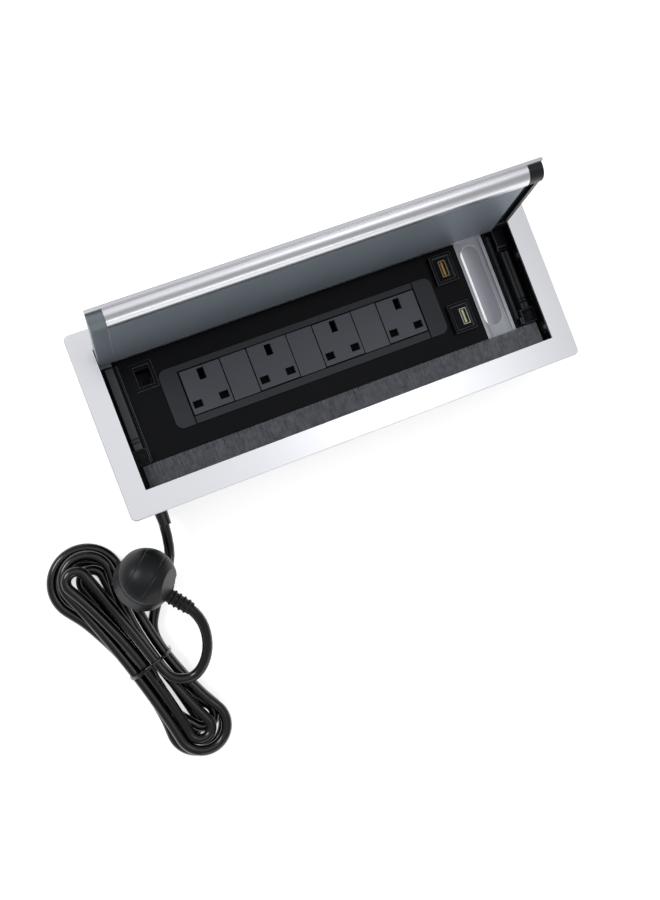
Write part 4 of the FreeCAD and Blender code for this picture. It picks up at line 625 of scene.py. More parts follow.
@dataclass
class Chargers:
    """The two USB modules: housings, shells, tongues with their contacts, and the board."""

    rear_y: float = 31.0
    front_y: float = -12.2
    split_y: float = 10.0
    port_x: tuple[float, float] = (117.9, 120.2)
    housing_edge_mm: float = 0.3
    shell_edge_mm: float = 0.08
    tongue_edge_mm: float = 0.15
    tongue_top: float = 50.5
    contact_count: int = 4
    contact_pitch: float = 2.4
    contact_half: float = 0.55
    contact_set_back: float = 0.9
    contact_behind: float = 0.16
    contact_ahead: float = 0.02
    contact_length: float = 7.0
    contact_sink: float = 0.3
    contact_crown: float = 0.3
    contact_steps: tuple[int, int] = (3, 5)

    def contact_top(self, aside: np.ndarray) -> np.ndarray:
        """Height of a contact's top: tongue's top - sink - crown times the square of aside."""
        return self.tongue_top - self.contact_sink - self.contact_crown * aside ** 2

    def contacts(self, index: int, y: float) -> bpy.types.Object:
        """The gilt strips on one tongue: each is a thin slab with a crowned top.

        Args:
            index: the port's number from 0.
            y: the port's middle.

        Returns:
            The piece.
        """
        x = self.port_x[index] - self.contact_set_back
        grids = []
        for k in range(self.contact_count):
            middle = y + (k - (self.contact_count - 1) / 2) * self.contact_pitch
            grids += slab((x - self.contact_behind, x + self.contact_ahead),
                          (middle - self.contact_half, middle + self.contact_half),
                          self.tongue_top - self.contact_length, self.contact_steps,
                          lambda gx, gy, m=middle: self.contact_top(gy - m))
        return surface(f"usb_contacts_{index + 1}", grids, wrap=False)

    def build(self) -> None:
        """Builds both ports: the rear one gilt with an amber tongue, the front one lime."""
        ranges = ((self.split_y, EVERYWHERE[1]), (EVERYWHERE[0], self.split_y))
        shells = (GILT, NICKEL)
        tongues = (TONGUE_AMBER, TONGUE_LIME)
        for i, y in enumerate((self.rear_y, self.front_y)):
            eased(f"usb_housing_{i + 1}", self.housing_edge_mm, DECK_ABS, edge=TILE_EDGE_HIGHLIGHT)
            eased("usb_shells", self.shell_edge_mm, shells[i], name=f"usb_shell_{i + 1}",
                  y_range=ranges[i])
            eased("usb_tongues", self.tongue_edge_mm, tongues[i], name=f"usb_tongue_{i + 1}",
                  y_range=ranges[i])
            finished(self.contacts(i, y), GILT, Body.BOX)
        dress("usb_board", BOARD)
        LOG.info("two chargers")


@dataclass
class NetworkPort:
    """The network port at the left end of the deck."""

    bezel_edge_mm: float = 0.25
    jack_edge_mm: float = 0.15

    def build(self) -> None:
        """Eases the bezel and the jack and dresses the contacts."""
        eased("network_bezel", self.bezel_edge_mm, DECK_ABS, edge=TILE_EDGE_HIGHLIGHT)
        eased("network_jack", self.jack_edge_mm, DECK_ABS)
        dress("network_contacts", BRASS_PAINTED_SHADE)
        LOG.info("network port")


@dataclass
class PassThrough:
    """The pale sleeve that cables drop through."""

    edge_mm: float = 0.35

    def build(self) -> None:
        """Eases the sleeve, whose rim is painted paler than its walls, a painted highlight."""
        eased("cable_chute", self.edge_mm, CHUTE_PVC, edge=CHUTE_RIM_HIGHLIGHT)
        LOG.info("cable pass-through")


@dataclass
class BrushStrip:
    """The row of bristles along the front, gripped by its rail.

    Bristles may lie against each other, so the weld, in metres, joins only the points at the
    two ends of each.
    """

    left: float = -173.5
    right: float = 177.0
    root_y: float = -60.3
    tip_y: float = -37.4
    middle_z: float = 53.0
    thickness: float = 1.8
    rows: int = 4
    per_row: int = 950
    radius: float = 0.17
    taper: tuple[float, ...] = (1.0, 1.0, 0.95, 0.85, 0.6)
    corners_at: tuple[float, ...] = (90.0, 210.0, 330.0)
    end_margin: float = 0.3
    splay_margin: float = 0.2
    root_jitter: float = 0.14
    height_jitter: float = 0.05
    length_spread: float = 0.35
    splay_spread: float = 0.45
    droop_spread: float = 0.25
    weld: float = 1e-8
    sharp_degrees: float = 75.0
    rail_edge_mm: float = 0.3
    seed: int = 7

    def bristles(self) -> bpy.types.Object:
        """Every bristle as a tapered three-sided rod with a slight droop and splay.

        Each starts at its own x0 and z0 and runs along +Y; its middle line is
        x = x0 + splay s^2, y = root + length s, z = z0 - droop s^2 for s from 0 to 1, and its
        radius follows the taper from the root to the tip.

        Returns:
            The piece.
        """
        draw = np.random.default_rng(self.seed)
        count = self.rows * self.per_row
        row = np.repeat(np.arange(self.rows), self.per_row)
        x0 = np.tile(np.linspace(self.left + self.end_margin, self.right - self.end_margin,
                                 self.per_row), self.rows)
        x0 = x0 + draw.uniform(-self.root_jitter, self.root_jitter, count)
        lane = self.thickness - 2 * self.radius
        z0 = self.middle_z - lane / 2 + lane * row / (self.rows - 1)
        z0 = z0 + draw.uniform(-self.height_jitter, self.height_jitter, count)
        reach = self.tip_y - self.root_y - np.abs(draw.normal(0, self.length_spread, count))
        splay = draw.normal(0, self.splay_spread, count)
        droop = np.abs(draw.normal(0, self.droop_spread, count))
        s = np.linspace(0, 1, len(self.taper))
        line = np.stack([x0[:, None] + splay[:, None] * s ** 2, self.root_y + reach[:, None] * s,
                         z0[:, None] - droop[:, None] * s ** 2], -1)
        line[..., 0] = np.clip(line[..., 0], self.left + self.splay_margin,
                               self.right - self.splay_margin)
        width = self.radius * np.array(self.taper)
        angle = np.array(self.corners_at) * np.pi / 180
        ring = np.stack([np.cos(angle), 0 * angle, np.sin(angle)], -1)
        rods = line[:, :, None] + ring[None, None] * width[None, :, None, None]
        ends = [np.repeat(line[:, i][:, None, None], len(angle), axis=2) for i in (0, -1)]
        rods = np.concatenate([ends[0], rods, ends[1]], axis=1)
        return self.joined(rods)

    def joined(self, rods: np.ndarray) -> bpy.types.Object:
        """Joins all rods into one mesh; quads link ring r to ring r + 1 round the corners.

        Args:
            rods: points by rod, ring, corner and coordinate.

        Returns:
            The piece.
        """
        count, rings, corners = rods.shape[:3]
        index = np.arange(count * rings * corners).reshape(count, rings, corners)
        beside = np.roll(index, -1, axis=2)
        quads = np.stack([index[:, :-1], index[:, 1:], beside[:, 1:], beside[:, :-1]], -1)
        return skin("brush_bristles_fine", rods.reshape(-1, 3), quads.reshape(-1, 4),
                    self.weld, self.weld, self.sharp_degrees)

    def build(self) -> None:
        """Builds the bristles and eases the rail."""
        brush = finished(self.bristles(), BRISTLE, Body.BOX)
        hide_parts("brush_bristles")
        eased("brush_rail", self.rail_edge_mm, POWDER_BLACK)
        LOG.info("brush strip of %d bristles", self.rows * self.per_row)


@dataclass
class SideChannels:
    """Rails, stop blocks, rear blocks, buffers and hinge brackets at both sides."""

    inner_x: float = 168.0
    width: float = 7.0
    top: float = 57.0
    low: float = 48.0
    front_y: float = -24.0
    rear_y: dict[int, float] = field(default_factory=lambda: {-1: 43.0, 1: 27.0})
    groove_depth: dict[int, float] = field(default_factory=lambda: {-1: 0.0, 1: 0.7})
    groove_half: float = 0.55
    round_drop: float = 0.5
    round_width: float = 0.6
    notches_at: tuple[float, float] = (5.6, 8.6)
    notch_depth: float = 1.2
    notch_half: float = 0.55
    steps: tuple[int, int] = (29, 160)
    block_edge_mm: float = 0.35
    bracket_edge_mm: float = 0.3

    def rail_top(self, x: np.ndarray, y: np.ndarray, side: int) -> np.ndarray:
        """Height of a rail: flat, less its round edges, two notches across and the groove.

        The groove is a bell curve over X and each notch a flat-bottomed one over Y. At the
        long edges the height falls with the square of the way into the rounding.

        Args:
            x: places along X.
            y: places along Y.
            side: -1 for the left, which has no groove, and 1 for the right.

        Returns:
            The heights, in millimetres.
        """
        middle = side * (self.inner_x + self.width / 2)
        groove = self.groove_depth[side] * np.exp(-((x - middle) / self.groove_half) ** 2)
        inwards = np.abs(x - middle) - self.width / 2 + self.round_width
        edge = self.round_drop * np.clip(inwards / self.round_width, 0, 1) ** 2
        notch = sum(self.notch_depth * np.exp(-((y - self.front_y - at) / self.notch_half) ** 6)
                    for at in self.notches_at)
        return self.top - groove - edge - notch

    def rail(self, side: int, label: str) -> bpy.types.Object:
        """One rail; the right one has the groove of its rubber insert along the middle.

        Args:
            side: -1 for the left, 1 for the right.
            label: "left" or "right".

        Returns:
            The piece.
        """
        x = sorted((side * self.inner_x, side * (self.inner_x + self.width)))
        grids = slab(tuple(x), (self.front_y, self.rear_y[side]), self.low, self.steps,
                     lambda gx, gy: self.rail_top(gx, gy, side))
        return surface(f"side_rail_{label}_grooved", grids, wrap=False)

    def build(self) -> None:
        """Builds both rails and eases the blocks beside them."""
        for side, label in ((-1, "left"), (1, "right")):
            look = RAIL_ABS if side < 0 else CAP_BLACK
            rail = finished(self.rail(side, label), look, Body.BOX)
            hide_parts(f"side_rail_{label}")
            eased(f"stop_block_{label}", self.block_edge_mm, DECK_ABS, edge=TILE_EDGE_HIGHLIGHT)
            eased(f"hinge_bracket_{label}", self.bracket_edge_mm, DECK_ABS)
        eased("rear_block_left", self.block_edge_mm, CAP_GREY)
        eased("rear_block_right", self.block_edge_mm, DECK_ABS, edge=TILE_EDGE_HIGHLIGHT)
        eased("buffers", self.block_edge_mm, RUBBER)
        dress("hinge_pins", STEEL)
        LOG.info("side channels")


@dataclass
class Lid:
    """The raised lid: extrusion with its cove, slate sheet, end caps and bushes."""

    panel_edge_mm: float = 0.3
    sheet_edge_mm: float = 0.5
    cap_edge_mm: float = 0.4

    def build(self) -> None:
        """Eases the lid's pieces, all of which swing together, and dresses the bushes."""
        eased("lid_panel", self.panel_edge_mm, ALUMINIUM, Body.LID, edge=ALUMINIUM_EDGE_SHADE)
        eased("lid_inner_panel", self.sheet_edge_mm, SLATE, Body.LID, edge=SLATE_EDGE_HIGHLIGHT)
        eased("lid_cap_left", self.cap_edge_mm, CAP_GREY, Body.LID)
        eased("lid_cap_right", self.cap_edge_mm, CAP_BLACK, Body.LID, edge=TILE_EDGE_HIGHLIGHT)
        dress("hinge_bushes", INNER_NYLON)
        LOG.info("lid")


@dataclass
class Plug:
    """The 13 A plug, drawn upright at the origin and laid where part of the lead carries it."""

    centre: tuple[float, float, float] = (-206.7, -122.2, 45.6)
    tilt: float = 30.0
    tilt_bearing: float = -152.0
    cord_bearing: float = -50.0
    radius: float = 23.2
    base: float = 13.0
    seam: float = 0.6
    seam_depth: float = 2.0
    rim: float = 4.0
    height: float = 35.0
    facet_tilt: float = 32.0
    facet_depth: float = 4.2
    axis_height: float = 7.7
    cap_steps: int = 90
    round_steps: int = 240
    rim_corner: float = 0.4
    grooves_at: tuple[float, float] = (-2.0, 13.0)
    groove_depth: float = 0.45
    groove_half: float = 0.45
    groove_bow: float = 0.004
    relief_length: float = 20.0
    relief_root: float = 4.0
    relief_radius: float = 5.5
    relief_taper: float = 0.03
    relief_tip: float = 4.3
    relief_steps: int = 150
    rib_height: float = 1.0
    rib_pitch: float = 4.4
    first_rib: float = 3.0
    rib_fullness: float = 0.6
    ribs_middle: float = 8.0
    ribs_half: float = 12.0
    base_edge_mm: float = 0.3
    pin_edge_mm: float = 0.4

    def axes(self) -> np.ndarray:
        """The plug's own X, Y and Z as rows: Z leaves the pins, and -Y points to the cord.

        Returns:
            A square of three unit rows.
        """
        tilt, bearing, cord = (math.radians(a) for a in (self.tilt, self.tilt_bearing,
                                                         self.cord_bearing))
        away = np.array([-math.sin(tilt) * math.cos(bearing),
                         -math.sin(tilt) * math.sin(bearing), math.cos(tilt)])
        flat = np.array([math.cos(cord), math.sin(cord), 0.0])
        towards = flat - away * flat.dot(away)
        towards /= np.linalg.norm(towards)
        return np.stack([np.cross(-towards, away), -towards, away])

    def laid(self, grid: np.ndarray) -> np.ndarray:
        """Moves points from the plug's own axes to where it lies."""
        return grid @ self.axes() + np.array(self.centre)

    def axis_point(self, beyond: float) -> np.ndarray:
        """A point on the cord's axis, beyond the tip of the strain relief."""
        reach = self.radius + self.relief_length + beyond
        return self.laid(np.array([0.0, -reach, self.axis_height]))

    def cover(self) -> bpy.types.Object:
        """The domed back: a sphere's cap over a short rim, with two moulded grooves across it.

        The cap's height over radius r is c + sqrt(q^2 - r^2), for a sphere of radius q about
        height c. Each groove lowers it by a bell curve across Y, which bows a little towards
        the cord. What lies beyond the facet's plane is moved back onto it.

        Returns:
            The piece.
        """
        low = self.base + self.seam
        rim = low + self.rim
        neck = self.radius - self.seam_depth
        middle = (self.height ** 2 - self.radius ** 2 - rim ** 2) / (2 * (self.height - rim))
        sphere = self.height - middle
        r = self.radius * np.sin(np.linspace(np.pi / 2, 0, self.cap_steps))
        cap = np.stack([r, middle + np.sqrt(sphere ** 2 - r ** 2)], -1)
        wall = np.array([[0, self.base], [neck, self.base], [neck, low],
                         [self.radius - self.rim_corner, low],
                         [self.radius, low + self.rim_corner]])
        grid = turned(np.concatenate([wall, cap]), self.round_steps)
        above_rim = len(wall) + 1
        x, y, z = (grid[above_rim:, :, axis] for axis in range(3))
        for at in self.grooves_at:
            across = y - at + self.groove_bow * x ** 2
            z -= self.groove_depth * np.exp(-(across / self.groove_half) ** 2)
        tilt = math.radians(self.facet_tilt)
        out = np.array([0.0, -math.cos(tilt), math.sin(tilt)])
        proud = grid @ out - middle * out[2] - (sphere - self.facet_depth)
        grid = grid - np.clip(proud, 0, None)[..., None] * out
        return surface("plug_cover_dome", [self.laid(grid)])

    def relief(self) -> bpy.types.Object:
        """The ribbed strain relief: a tapered core, with four rounded ribs along it.

        Its radius at s along the axis is the core's, less a taper, plus a rib wherever a
        cosine of s is positive, as high as a power of it. The ribs die away towards the tip.

        Returns:
            The piece.
        """
        s = np.linspace(0, self.relief_length, self.relief_steps)
        core = self.relief_radius - self.relief_taper * s
        turn = 2 * np.pi * (s - self.first_rib) / self.rib_pitch
        wave = np.clip(np.cos(turn), 0, 1) ** self.rib_fullness
        fade = np.exp(-((s - self.ribs_middle) / self.ribs_half) ** 6)
        body = core + self.rib_height * wave * fade
        profile = np.concatenate([[[0, -self.relief_root], [body[0], -self.relief_root]],
                                  np.stack([body, s], -1),
                                  [[self.relief_tip, self.relief_length],
                                   [0, self.relief_length]]])
        grid = turned(profile, ROUND_STEPS)
        placed = np.stack([grid[..., 0], -self.radius - grid[..., 2],
                           grid[..., 1] + self.axis_height], -1)
        return surface("plug_relief_ribbed", [self.laid(placed)])

    def build(self) -> list[bpy.types.Object]:
        """Builds the plug's visible pieces and dresses the rest.

        Returns:
            Every piece that travels with the plug.
        """
        cover = finished(self.cover(), PLUG_PVC, Body.BOX)
        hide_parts("plug_cover")
        relief = finished(self.relief(), PLUG_PVC, Body.BOX)
        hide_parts("plug_relief")
        base = eased("plug_base", self.base_edge_mm, PLUG_PVC)
        pins = eased("plug_pins", self.pin_edge_mm, PIN_METAL)
        dress("plug_fuse", CERAMIC)
        LOG.info("plug")
        return [cover, relief, base, pins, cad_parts["plug_fuse"]]


@dataclass
class Hank:
    """The coil of the lead: passes through a narrow waist, with a loop's end after each.

    Its own axes run along it, across it and up from the floor, from the middle of the waist.
    Upper and lower give the reach and radius of the outermost loop at that end. A lobe is one
    loop's end, and its row says how far it falls short of that reach, lies aside and is
    tighter, in steps. Those of even number are at the lower end.
    """

    diameter: float
    waist: tuple[float, float] = (-224.0, -187.0)
    bearing: float = -73.9
    step: float = 9.2
    layer: float = 8.9
    passes_per_layer: int = 3
    upper: tuple[float, float] = (83.0, 27.5)
    lower: tuple[float, float] = (63.5, 21.5)
    waist_half: float = 16.3
    insets: tuple[float, ...] = (0.0, 0.5, 1.0, 1.5, 1.0, 0.5)
    lobes: tuple = ((0.0, 0.2, 0.0), (0.4, -0.1, 0.75), (0.4, -0.3, 1.5), (0.2, 0.55, 2.0),
                    (0.5, 1.1, 1.3), (0.0, 0.1, 0.0), (-0.1, 0.55, 0.22), (-0.2, 0.3, 0.9),
                    (-0.1, 0.3, 1.35), (-0.6, -0.45, 2.1))
    lobe_points: int = 8
    half_points: int = 2

    def plan(self) -> tuple[np.ndarray, np.ndarray]:
        """The directions along and across the hank, in the model's X and Y."""
        a = math.radians(self.bearing)
        return np.array([math.cos(a), math.sin(a)]), np.array([-math.sin(a), math.cos(a)])

    def place(self, flat: np.ndarray) -> np.ndarray:
        """Moves points from the hank's axes to the model's.

        Args:
            flat: rows of along, across and height.

        Returns:
            Rows of X, Y and Z.
        """
        along, across = self.plan()
        plan = np.array(self.waist) + flat[:, :1] * along + flat[:, 1:2] * across
        return np.concatenate([plan, flat[:, 2:]], axis=1)

    def column(self, number: int) -> float:
        """Where one pass goes through the waist: right of the middle, or left where odd."""
        inset = self.insets[number % len(self.insets)] * self.step
        return (self.waist_half - inset) * (1 if number % 2 == 0 else -1)

    def lobe(self, number: int) -> tuple[float, float, float]:
        """The circle of one loop's end.

        Args:
            number: the loop's end.

        Returns:
            Its centre, along and across, and its radius.
        """
        short, aside, smaller = (share * self.step for share in self.lobes[number])
        reach, radius = self.lower if number % 2 == 0 else self.upper
        return (reach - short) * (1 if number % 2 == 0 else -1), aside, radius - smaller

    def half(self, number: int, column: float) -> tuple[float, float, float, float]:
        """The arc from the waist to a loop's end, which touches that end's circle.

        It is parallel to the hank at the waist, which with the circle gives its radius.

        Args:
            number: the loop's end.
            column: the place across the waist where the arc starts.

        Returns:
            Where it touches, along and across, its centre across, and its radius.
        """
        u, v, radius = self.lobe(number)
        side = math.copysign(1, column)
        beyond = side * (v - column)
        bend = (u * u + beyond * beyond - radius * radius) / (2 * (radius + beyond))
        centre = column + side * bend
        share = radius / (radius + bend)
        return u - share * u, v + share * (centre - v), centre, bend

    def half_pass(self, number: int, column: float, low: float, high: float) -> np.ndarray:
        """Points of the arc from the waist to a loop's end.

        They are the corners of a polygon round the arc, so that the spline touches the arc.

        Args:
            number: the loop's end.
            column: the place across the waist where the arc starts.
            low: height at the waist.
            high: height at the loop's end.

        Returns:
            Rows of along, across and height.
        """
        touch, _, centre, bend = self.half(number, column)
        turn = math.asin(touch / bend)
        share = (np.arange(self.half_points) + 0.5) / self.half_points
        reach = bend / math.cos(turn / self.half_points / 2)
        side = math.copysign(1, column)
        across = centre - side * reach * np.cos(turn * share)
        return np.stack([reach * np.sin(turn * share), across, low + (high - low) * share], -1)

    def lobe_arc(self, number: int, height: float) -> np.ndarray:
        """Points round one loop's end, clockwise from the pass before it to the one after.

        They are corners of a polygon round the circle, with one more on the line where each
        pass touches it, so that the bend starts there and no sooner.

        Args:
            number: the loop's end.
            height: how high it lies.

        Returns:
            Rows of along, across and height.
        """
        u, v, radius = self.lobe(number)
        near, far = (self.half(number, self.column(k)) for k in (number, number + 1))
        start, stop = (math.atan2(spot[1] - v, spot[0] - u) for spot in (near, far))
        step = ((stop - start) % (2 * math.pi) - 2 * math.pi) / self.lobe_points
        angle = start + (np.arange(-1, self.lobe_points + 1) + 0.5) * step
        reach = radius / math.cos(step / 2)
        return np.stack([u + reach * np.cos(angle), v + reach * np.sin(angle),
                         np.full(self.lobe_points + 2, height)], -1)

    def points(self) -> np.ndarray:
        """The whole hank: pass by pass through the waist, and round a loop's end after each.

        Returns:
            Points in the model's axes.
        """
        chunks, level, last = [], 0, len(self.lobes)
        for i in range(last + 1):
            climbs = 0 < i < last and i % self.passes_per_layer == 0
            low = self.diameter / 2 + level * self.layer
            high = low + (self.layer if climbs else 0.0)
            middle = (low + high) / 2
            if i > 0:
                chunks.append(self.half_pass(i - 1, self.column(i), middle, low)[::-1])
            if i < last:
                chunks.append(self.half_pass(i, self.column(i), middle, high))
                chunks.append(self.lobe_arc(i, high))
            level += 1 if climbs else 0
        return self.place(np.concatenate(chunks))

    def ends(self, before: float, after: float) -> np.ndarray:
        """Where the lead comes to the waist on the floor, and leaves it on the top layer.

        Args:
            before: how far before the waist the first point lies.
            after: how far beyond the waist the last one lies.

        Returns:
            The two points in the model's axes.
        """
        floor, last = self.diameter / 2, len(self.lobes)
        top = floor + (last - 1) // self.passes_per_layer * self.layer
        return self.place(np.array([[-before, self.column(0), floor],
                                    [after, self.column(last), top]]))


@dataclass
class WireTie:
    """The wire tie round the waist: a flat sleeve over the hank, and its twisted ends.

    The corners and the start of the twist are in the hank's own axes.
    """

    hank: Hank
    corners: tuple = ((-17.3, 0.3), (-17.3, 22.0), (-8.5, 35.8), (12.5, 36.1), (21.6, 25.0),
                      (21.6, 0.3))
    cut: float = 0.25
    rounds: int = 3
    thickness: float = 0.9
    width: float = 2.6
    squareness: float = 3.0
    sleeve_points: int = 14
    twist_from: tuple[float, float, float] = (-1.0, 3.0, 37.0)
    twist_length: float = 13.0
    twist_aside: float = 2.0
    twist_drop: float = 1.2
    twist_radius: float = 0.62
    twist_turns: float = 4.5
    twist_steps: int = 90
    wire: float = 1.15
    wire_points: int = 10

    def sleeve(self) -> bpy.types.Object:
        """The sleeve: an oval section along a line across the hank.

        The line is a polygon through the corners, given by across and height. Each round cuts
        its corners off at a share of the way along both sides.

        Returns:
            The piece.
        """
        line = np.array(self.corners)
        for _ in range(self.rounds):
            near = (1 - self.cut) * line[:-1] + self.cut * line[1:]
            far = self.cut * line[:-1] + (1 - self.cut) * line[1:]
            inner = np.stack([near, far], 1).reshape(-1, 2)
            line = np.concatenate([line[:1], inner, line[-1:]])
        path = self.hank.place(np.stack([0 * line[:, 0], line[:, 0], line[:, 1]], -1))
        section = oval(self.thickness, self.width, self.sleeve_points, self.squareness)
        along, _ = self.hank.plan()
        return surface("hank_tie_sleeve", [swept(path, section, np.append(along, 0.0))])

    def twist(self) -> bpy.types.Object:
        """The twisted ends: two helices, half a turn apart, about one short drooping axis.

        Returns:
            The piece.
        """
        s = np.linspace(0, 1, self.twist_steps)
        along, across, height = self.twist_from
        tails = []
        for phase in (0.0, math.pi):
            t = 2 * np.pi * self.twist_turns * s + phase
            spin = np.stack([along + self.twist_length * s,
                             across + self.twist_radius * np.cos(t) - self.twist_aside * s ** 2,
                             height - self.twist_drop * s + self.twist_radius * np.sin(t)], -1)
            tails.append(swept(self.hank.place(spin),
                               oval(self.wire, self.wire, self.wire_points),
                               np.array([0.0, 0.0, 1.0])))
        return surface("hank_tie_twist", tails)

    def build(self) -> list[bpy.types.Object]:
        """Builds both pieces, of which the sleeve stands in for the node.

        Returns:
            The two pieces.
        """
        tie = [finished(piece, CORD_PVC, Body.BOX) for piece in (self.sleeve(), self.twist())]
        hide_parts("hank_tie")
        return tie


@dataclass
class Gland:
    """The gland outside the front wall: a nut, then a smooth tapered relief."""

    mouth: tuple[float, float, float]
    length: float = 22.0
    radius: float = 6.0
    taper: float = 1.2
    nut_radius: float = 8.5
    nut_length: float = 4.6
    nut_round_at: float = 4.0
    nut_round: float = 0.25
    collar: float = 0.5
    collar_half: float = 1.2
    thread_radius: float = 5.3
    thread_length: float = 8.5
    tip_radius: float = 4.25
    tip_length: float = 21.5
    steps: int = 60

    def build(self) -> None:
        """Turns the gland's profile about its axis, along -Y from the wall.

        The radius at s is the nut's as far as its length, a little less at its end. Beyond, it
        is the relief's, which falls evenly to the tip, plus a bell-shaped collar at the nut.
        """
        s = np.linspace(0, self.length, self.steps)
        collar = self.collar * np.exp(-((s - self.nut_length) / self.collar_half) ** 2)
        cone = self.radius - self.taper * s / self.length + collar
        nut = self.nut_radius - self.nut_round * np.clip(s - self.nut_round_at, 0, 1)
        outer = np.where(s < self.nut_length, nut, cone)
        profile = np.concatenate([[[0.0, -self.thread_length],
                                   [self.thread_radius, -self.thread_length],
                                   [self.thread_radius, 0.0]], np.stack([outer, s], -1),
                                  [[self.tip_radius, self.length], [0, self.tip_length]]])
        grid = turned(profile, ROUND_STEPS)
        x, y, z = self.mouth
        placed = np.stack([x + grid[..., 0], y - grid[..., 2], z + grid[..., 1]], -1)
        gland = finished(surface("cord_gland_tapered", [placed]), CORD_PVC, Body.BOX)
        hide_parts("cord_gland")


@dataclass
class MainsLead:
    """The mains lead: one smooth line from the gland, through the tied hank, to the plug."""

    diameter: float = 8.4
    length: float = 2.3
    gland: tuple[float, float, float] = (-172.0, -64.5, 27.5)
    supply: tuple = ((-172.0, -57.0, 27.5), (-172.0, -103.0, 27.5), (-187.5, -128.0, 5.5),
                     (-203.0, -146.0, 4.2))
    supply_run: float = 18.0
    plug_run: float = 7.0
    plug_route: tuple = ((-208.5, -204.0, 32.0), (-190.5, -208.0, 33.5), (-174.5, -190.5, 38.5))
    before_relief: float = 10.0
    inside_relief: float = 6.0
    round_resolution: int = 5
    length_resolution: int = 6

    def route(self, hank: Hank, plug: Plug) -> np.ndarray:
        """Every point of the lead, from inside the box to inside the plug's strain relief.

        Args:
            hank: the coil on the way.
            plug: the plug at its far end.

        Returns:
            The spline's points in millimetres.
        """
        ends = hank.ends(self.supply_run, self.plug_run)
        return np.array([*self.supply, ends[0], *hank.points(), ends[1], *self.plug_route,
                         plug.axis_point(self.before_relief),
                         plug.axis_point(-self.inside_relief)])

    def cord(self, route: np.ndarray) -> bpy.types.Object:
        """The lead itself: one NURBS spline of the third order with a round bevel.

        Args:
            route: the spline's points in millimetres.

        Returns:
            The piece, a curve.
        """
        points = route * MM
        curve = bpy.data.curves.new("mains_lead", "CURVE")
        curve.dimensions = "3D"
        curve.bevel_depth = self.diameter / 2 * MM
        curve.bevel_resolution = self.round_resolution
        curve.resolution_u = self.length_resolution
        curve.use_fill_caps = True
        spline = curve.splines.new("NURBS")
        spline.points.add(len(points) - 1)
        flat = np.concatenate([points, np.ones((len(points), 1))], axis=1)
        spline.points.foreach_set("co", flat.ravel())
        spline.order_u = 3
        spline.use_endpoint_u = True
        return new_object("mains_lead", curve)

    def build(self, plug: Plug, plug_pieces: list[bpy.types.Object]) -> None:
        """Args:
            plug: the plug's sizes.
            plug_pieces: the plug's pieces, which are not used.
        """
        hank = Hank(self.diameter)
        lead = finished(self.cord(self.route(hank, plug)), CORD_PVC, Body.BOX)
        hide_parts("supply_lead", "cord_hank", "plug_lead")
        Gland(self.gland).build()
        tie = WireTie(hank).build()
        LOG.info("mains lead of %.2f m", self.length)


@dataclass(frozen=True)
class Lamp:
    """One rectangular area light, with places and sizes in metres and its power in watts."""

    name: str
    at: tuple[float, float, float]
    aim: tuple[float, float, float]
    size: tuple[float, float]
    watts: float

    def build(self) -> None:
        """Hangs the light facing its aim; the first size lies level, across the aim.

        Where the aim is straight below, the first size lies along Y.
        """
        data = bpy.data.lights.new(self.name, "AREA")
        data.shape = "RECTANGLE"
        data.size, data.size_y = self.size
        data.energy = self.watts
        way = np.array(self.aim) - np.array(self.at)
        yaw = math.atan2(way[1], way[0]) + math.pi / 2
        pitch = math.atan2(np.hypot(way[0], way[1]), -way[2])
        obj = new_object(self.name, data)
        obj.location = self.at
        obj.rotation_euler = Euler((pitch, 0, yaw - math.pi), "XYZ")


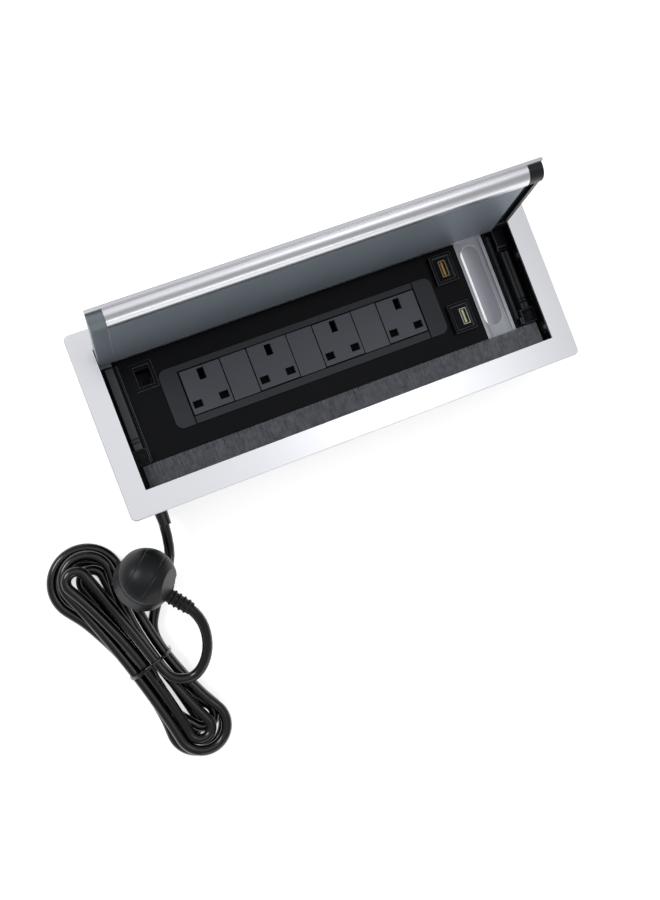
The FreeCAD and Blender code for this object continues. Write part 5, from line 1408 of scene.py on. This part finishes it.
@dataclass
class Studio:
    """The pale floor, the soft light and the camera at the photograph's angle.

    The eye's place is in metres, and so is how far it can see.
    """

    eye: tuple[float, float, float] = (-0.200405, -0.086464, 0.897925)
    turn: tuple[float, float, float] = (4.7257151, -10.48411901, -21.36063783)
    lens: float = 42.63
    sensor: float = 36.0
    sight: float = 20.0
    floor_half: float = 3000.0
    floor_drop: float = 0.02
    floor_steps: int = 9
    world: float = 0.38
    lamps: tuple[Lamp, ...] = (
        Lamp("overhead_softbox", (0.25, 0.1, 1.7), (0.25, 0.1, 0.0), (1.3, 1.7), 3.8),
        Lamp("front_fill", (0.0, -1.4, 0.5), (0.0, 0.08, 0.1), (1.2, 0.3), 2.2),
        Lamp("overhead_spot", (0.46, -0.03, 1.6), (0.03, -0.06, 0.05), (0.3, 0.3), 0.7),
        Lamp("key_softbox", (-1.0, 0.8, 1.3), (-0.1, -0.1, 0.05), (0.5, 0.5), 10.0))

    def camera(self) -> None:
        """Places the camera."""
        data = bpy.data.cameras.new("camera")
        data.lens = self.lens
        data.sensor_width = self.sensor
        data.clip_end = self.sight
        obj = new_object("camera", data)
        obj.location = self.eye
        obj.rotation_euler = Euler([math.radians(a) for a in self.turn], "XYZ")
        bpy.context.scene.camera = obj

    def floor(self) -> None:
        """Lays the floor, a level grid a hair below the lowest pieces."""
        line = np.linspace(-self.floor_half, self.floor_half, self.floor_steps)
        gx, gy = np.meshgrid(line, line, indexing="ij")
        level = 0 * gx - self.floor_drop
        floor = surface("studio_floor", [np.stack([gx, gy, level], -1)], wrap=False)
        floor.data.materials.append(PAPER.build())

    def sky(self) -> None:
        """Lights everything evenly from all round with white."""
        world = bpy.data.worlds.new("soft_white")
        world.use_nodes = True
        background = world.node_tree.nodes["Background"]
        background.inputs["Color"].default_value = (1.0, 1.0, 1.0, 1.0)
        background.inputs["Strength"].default_value = self.world
        bpy.context.scene.world = world

    def build(self) -> None:
        """Builds the studio and shows colours as they are."""
        self.floor()
        self.sky()
        for lamp in self.lamps:
            lamp.build()
        self.camera()
        bpy.context.scene.view_settings.view_transform = "Standard"
        LOG.info("studio")


def main() -> None:
    """Builds the studio and every sub-assembly."""
    logging.basicConfig(level=logging.INFO, format="%(name)s: %(message)s")
    Studio().build()
    plug = Plug()
    MainsLead().build(plug, plug.build())
    for assembly in (BezelFrame(), Case(), Deck(), Chargers(), NetworkPort(), PassThrough(),
                     BrushStrip(), SideChannels(), Lid()):
        assembly.build()


if __name__ == "__main__":
    main()
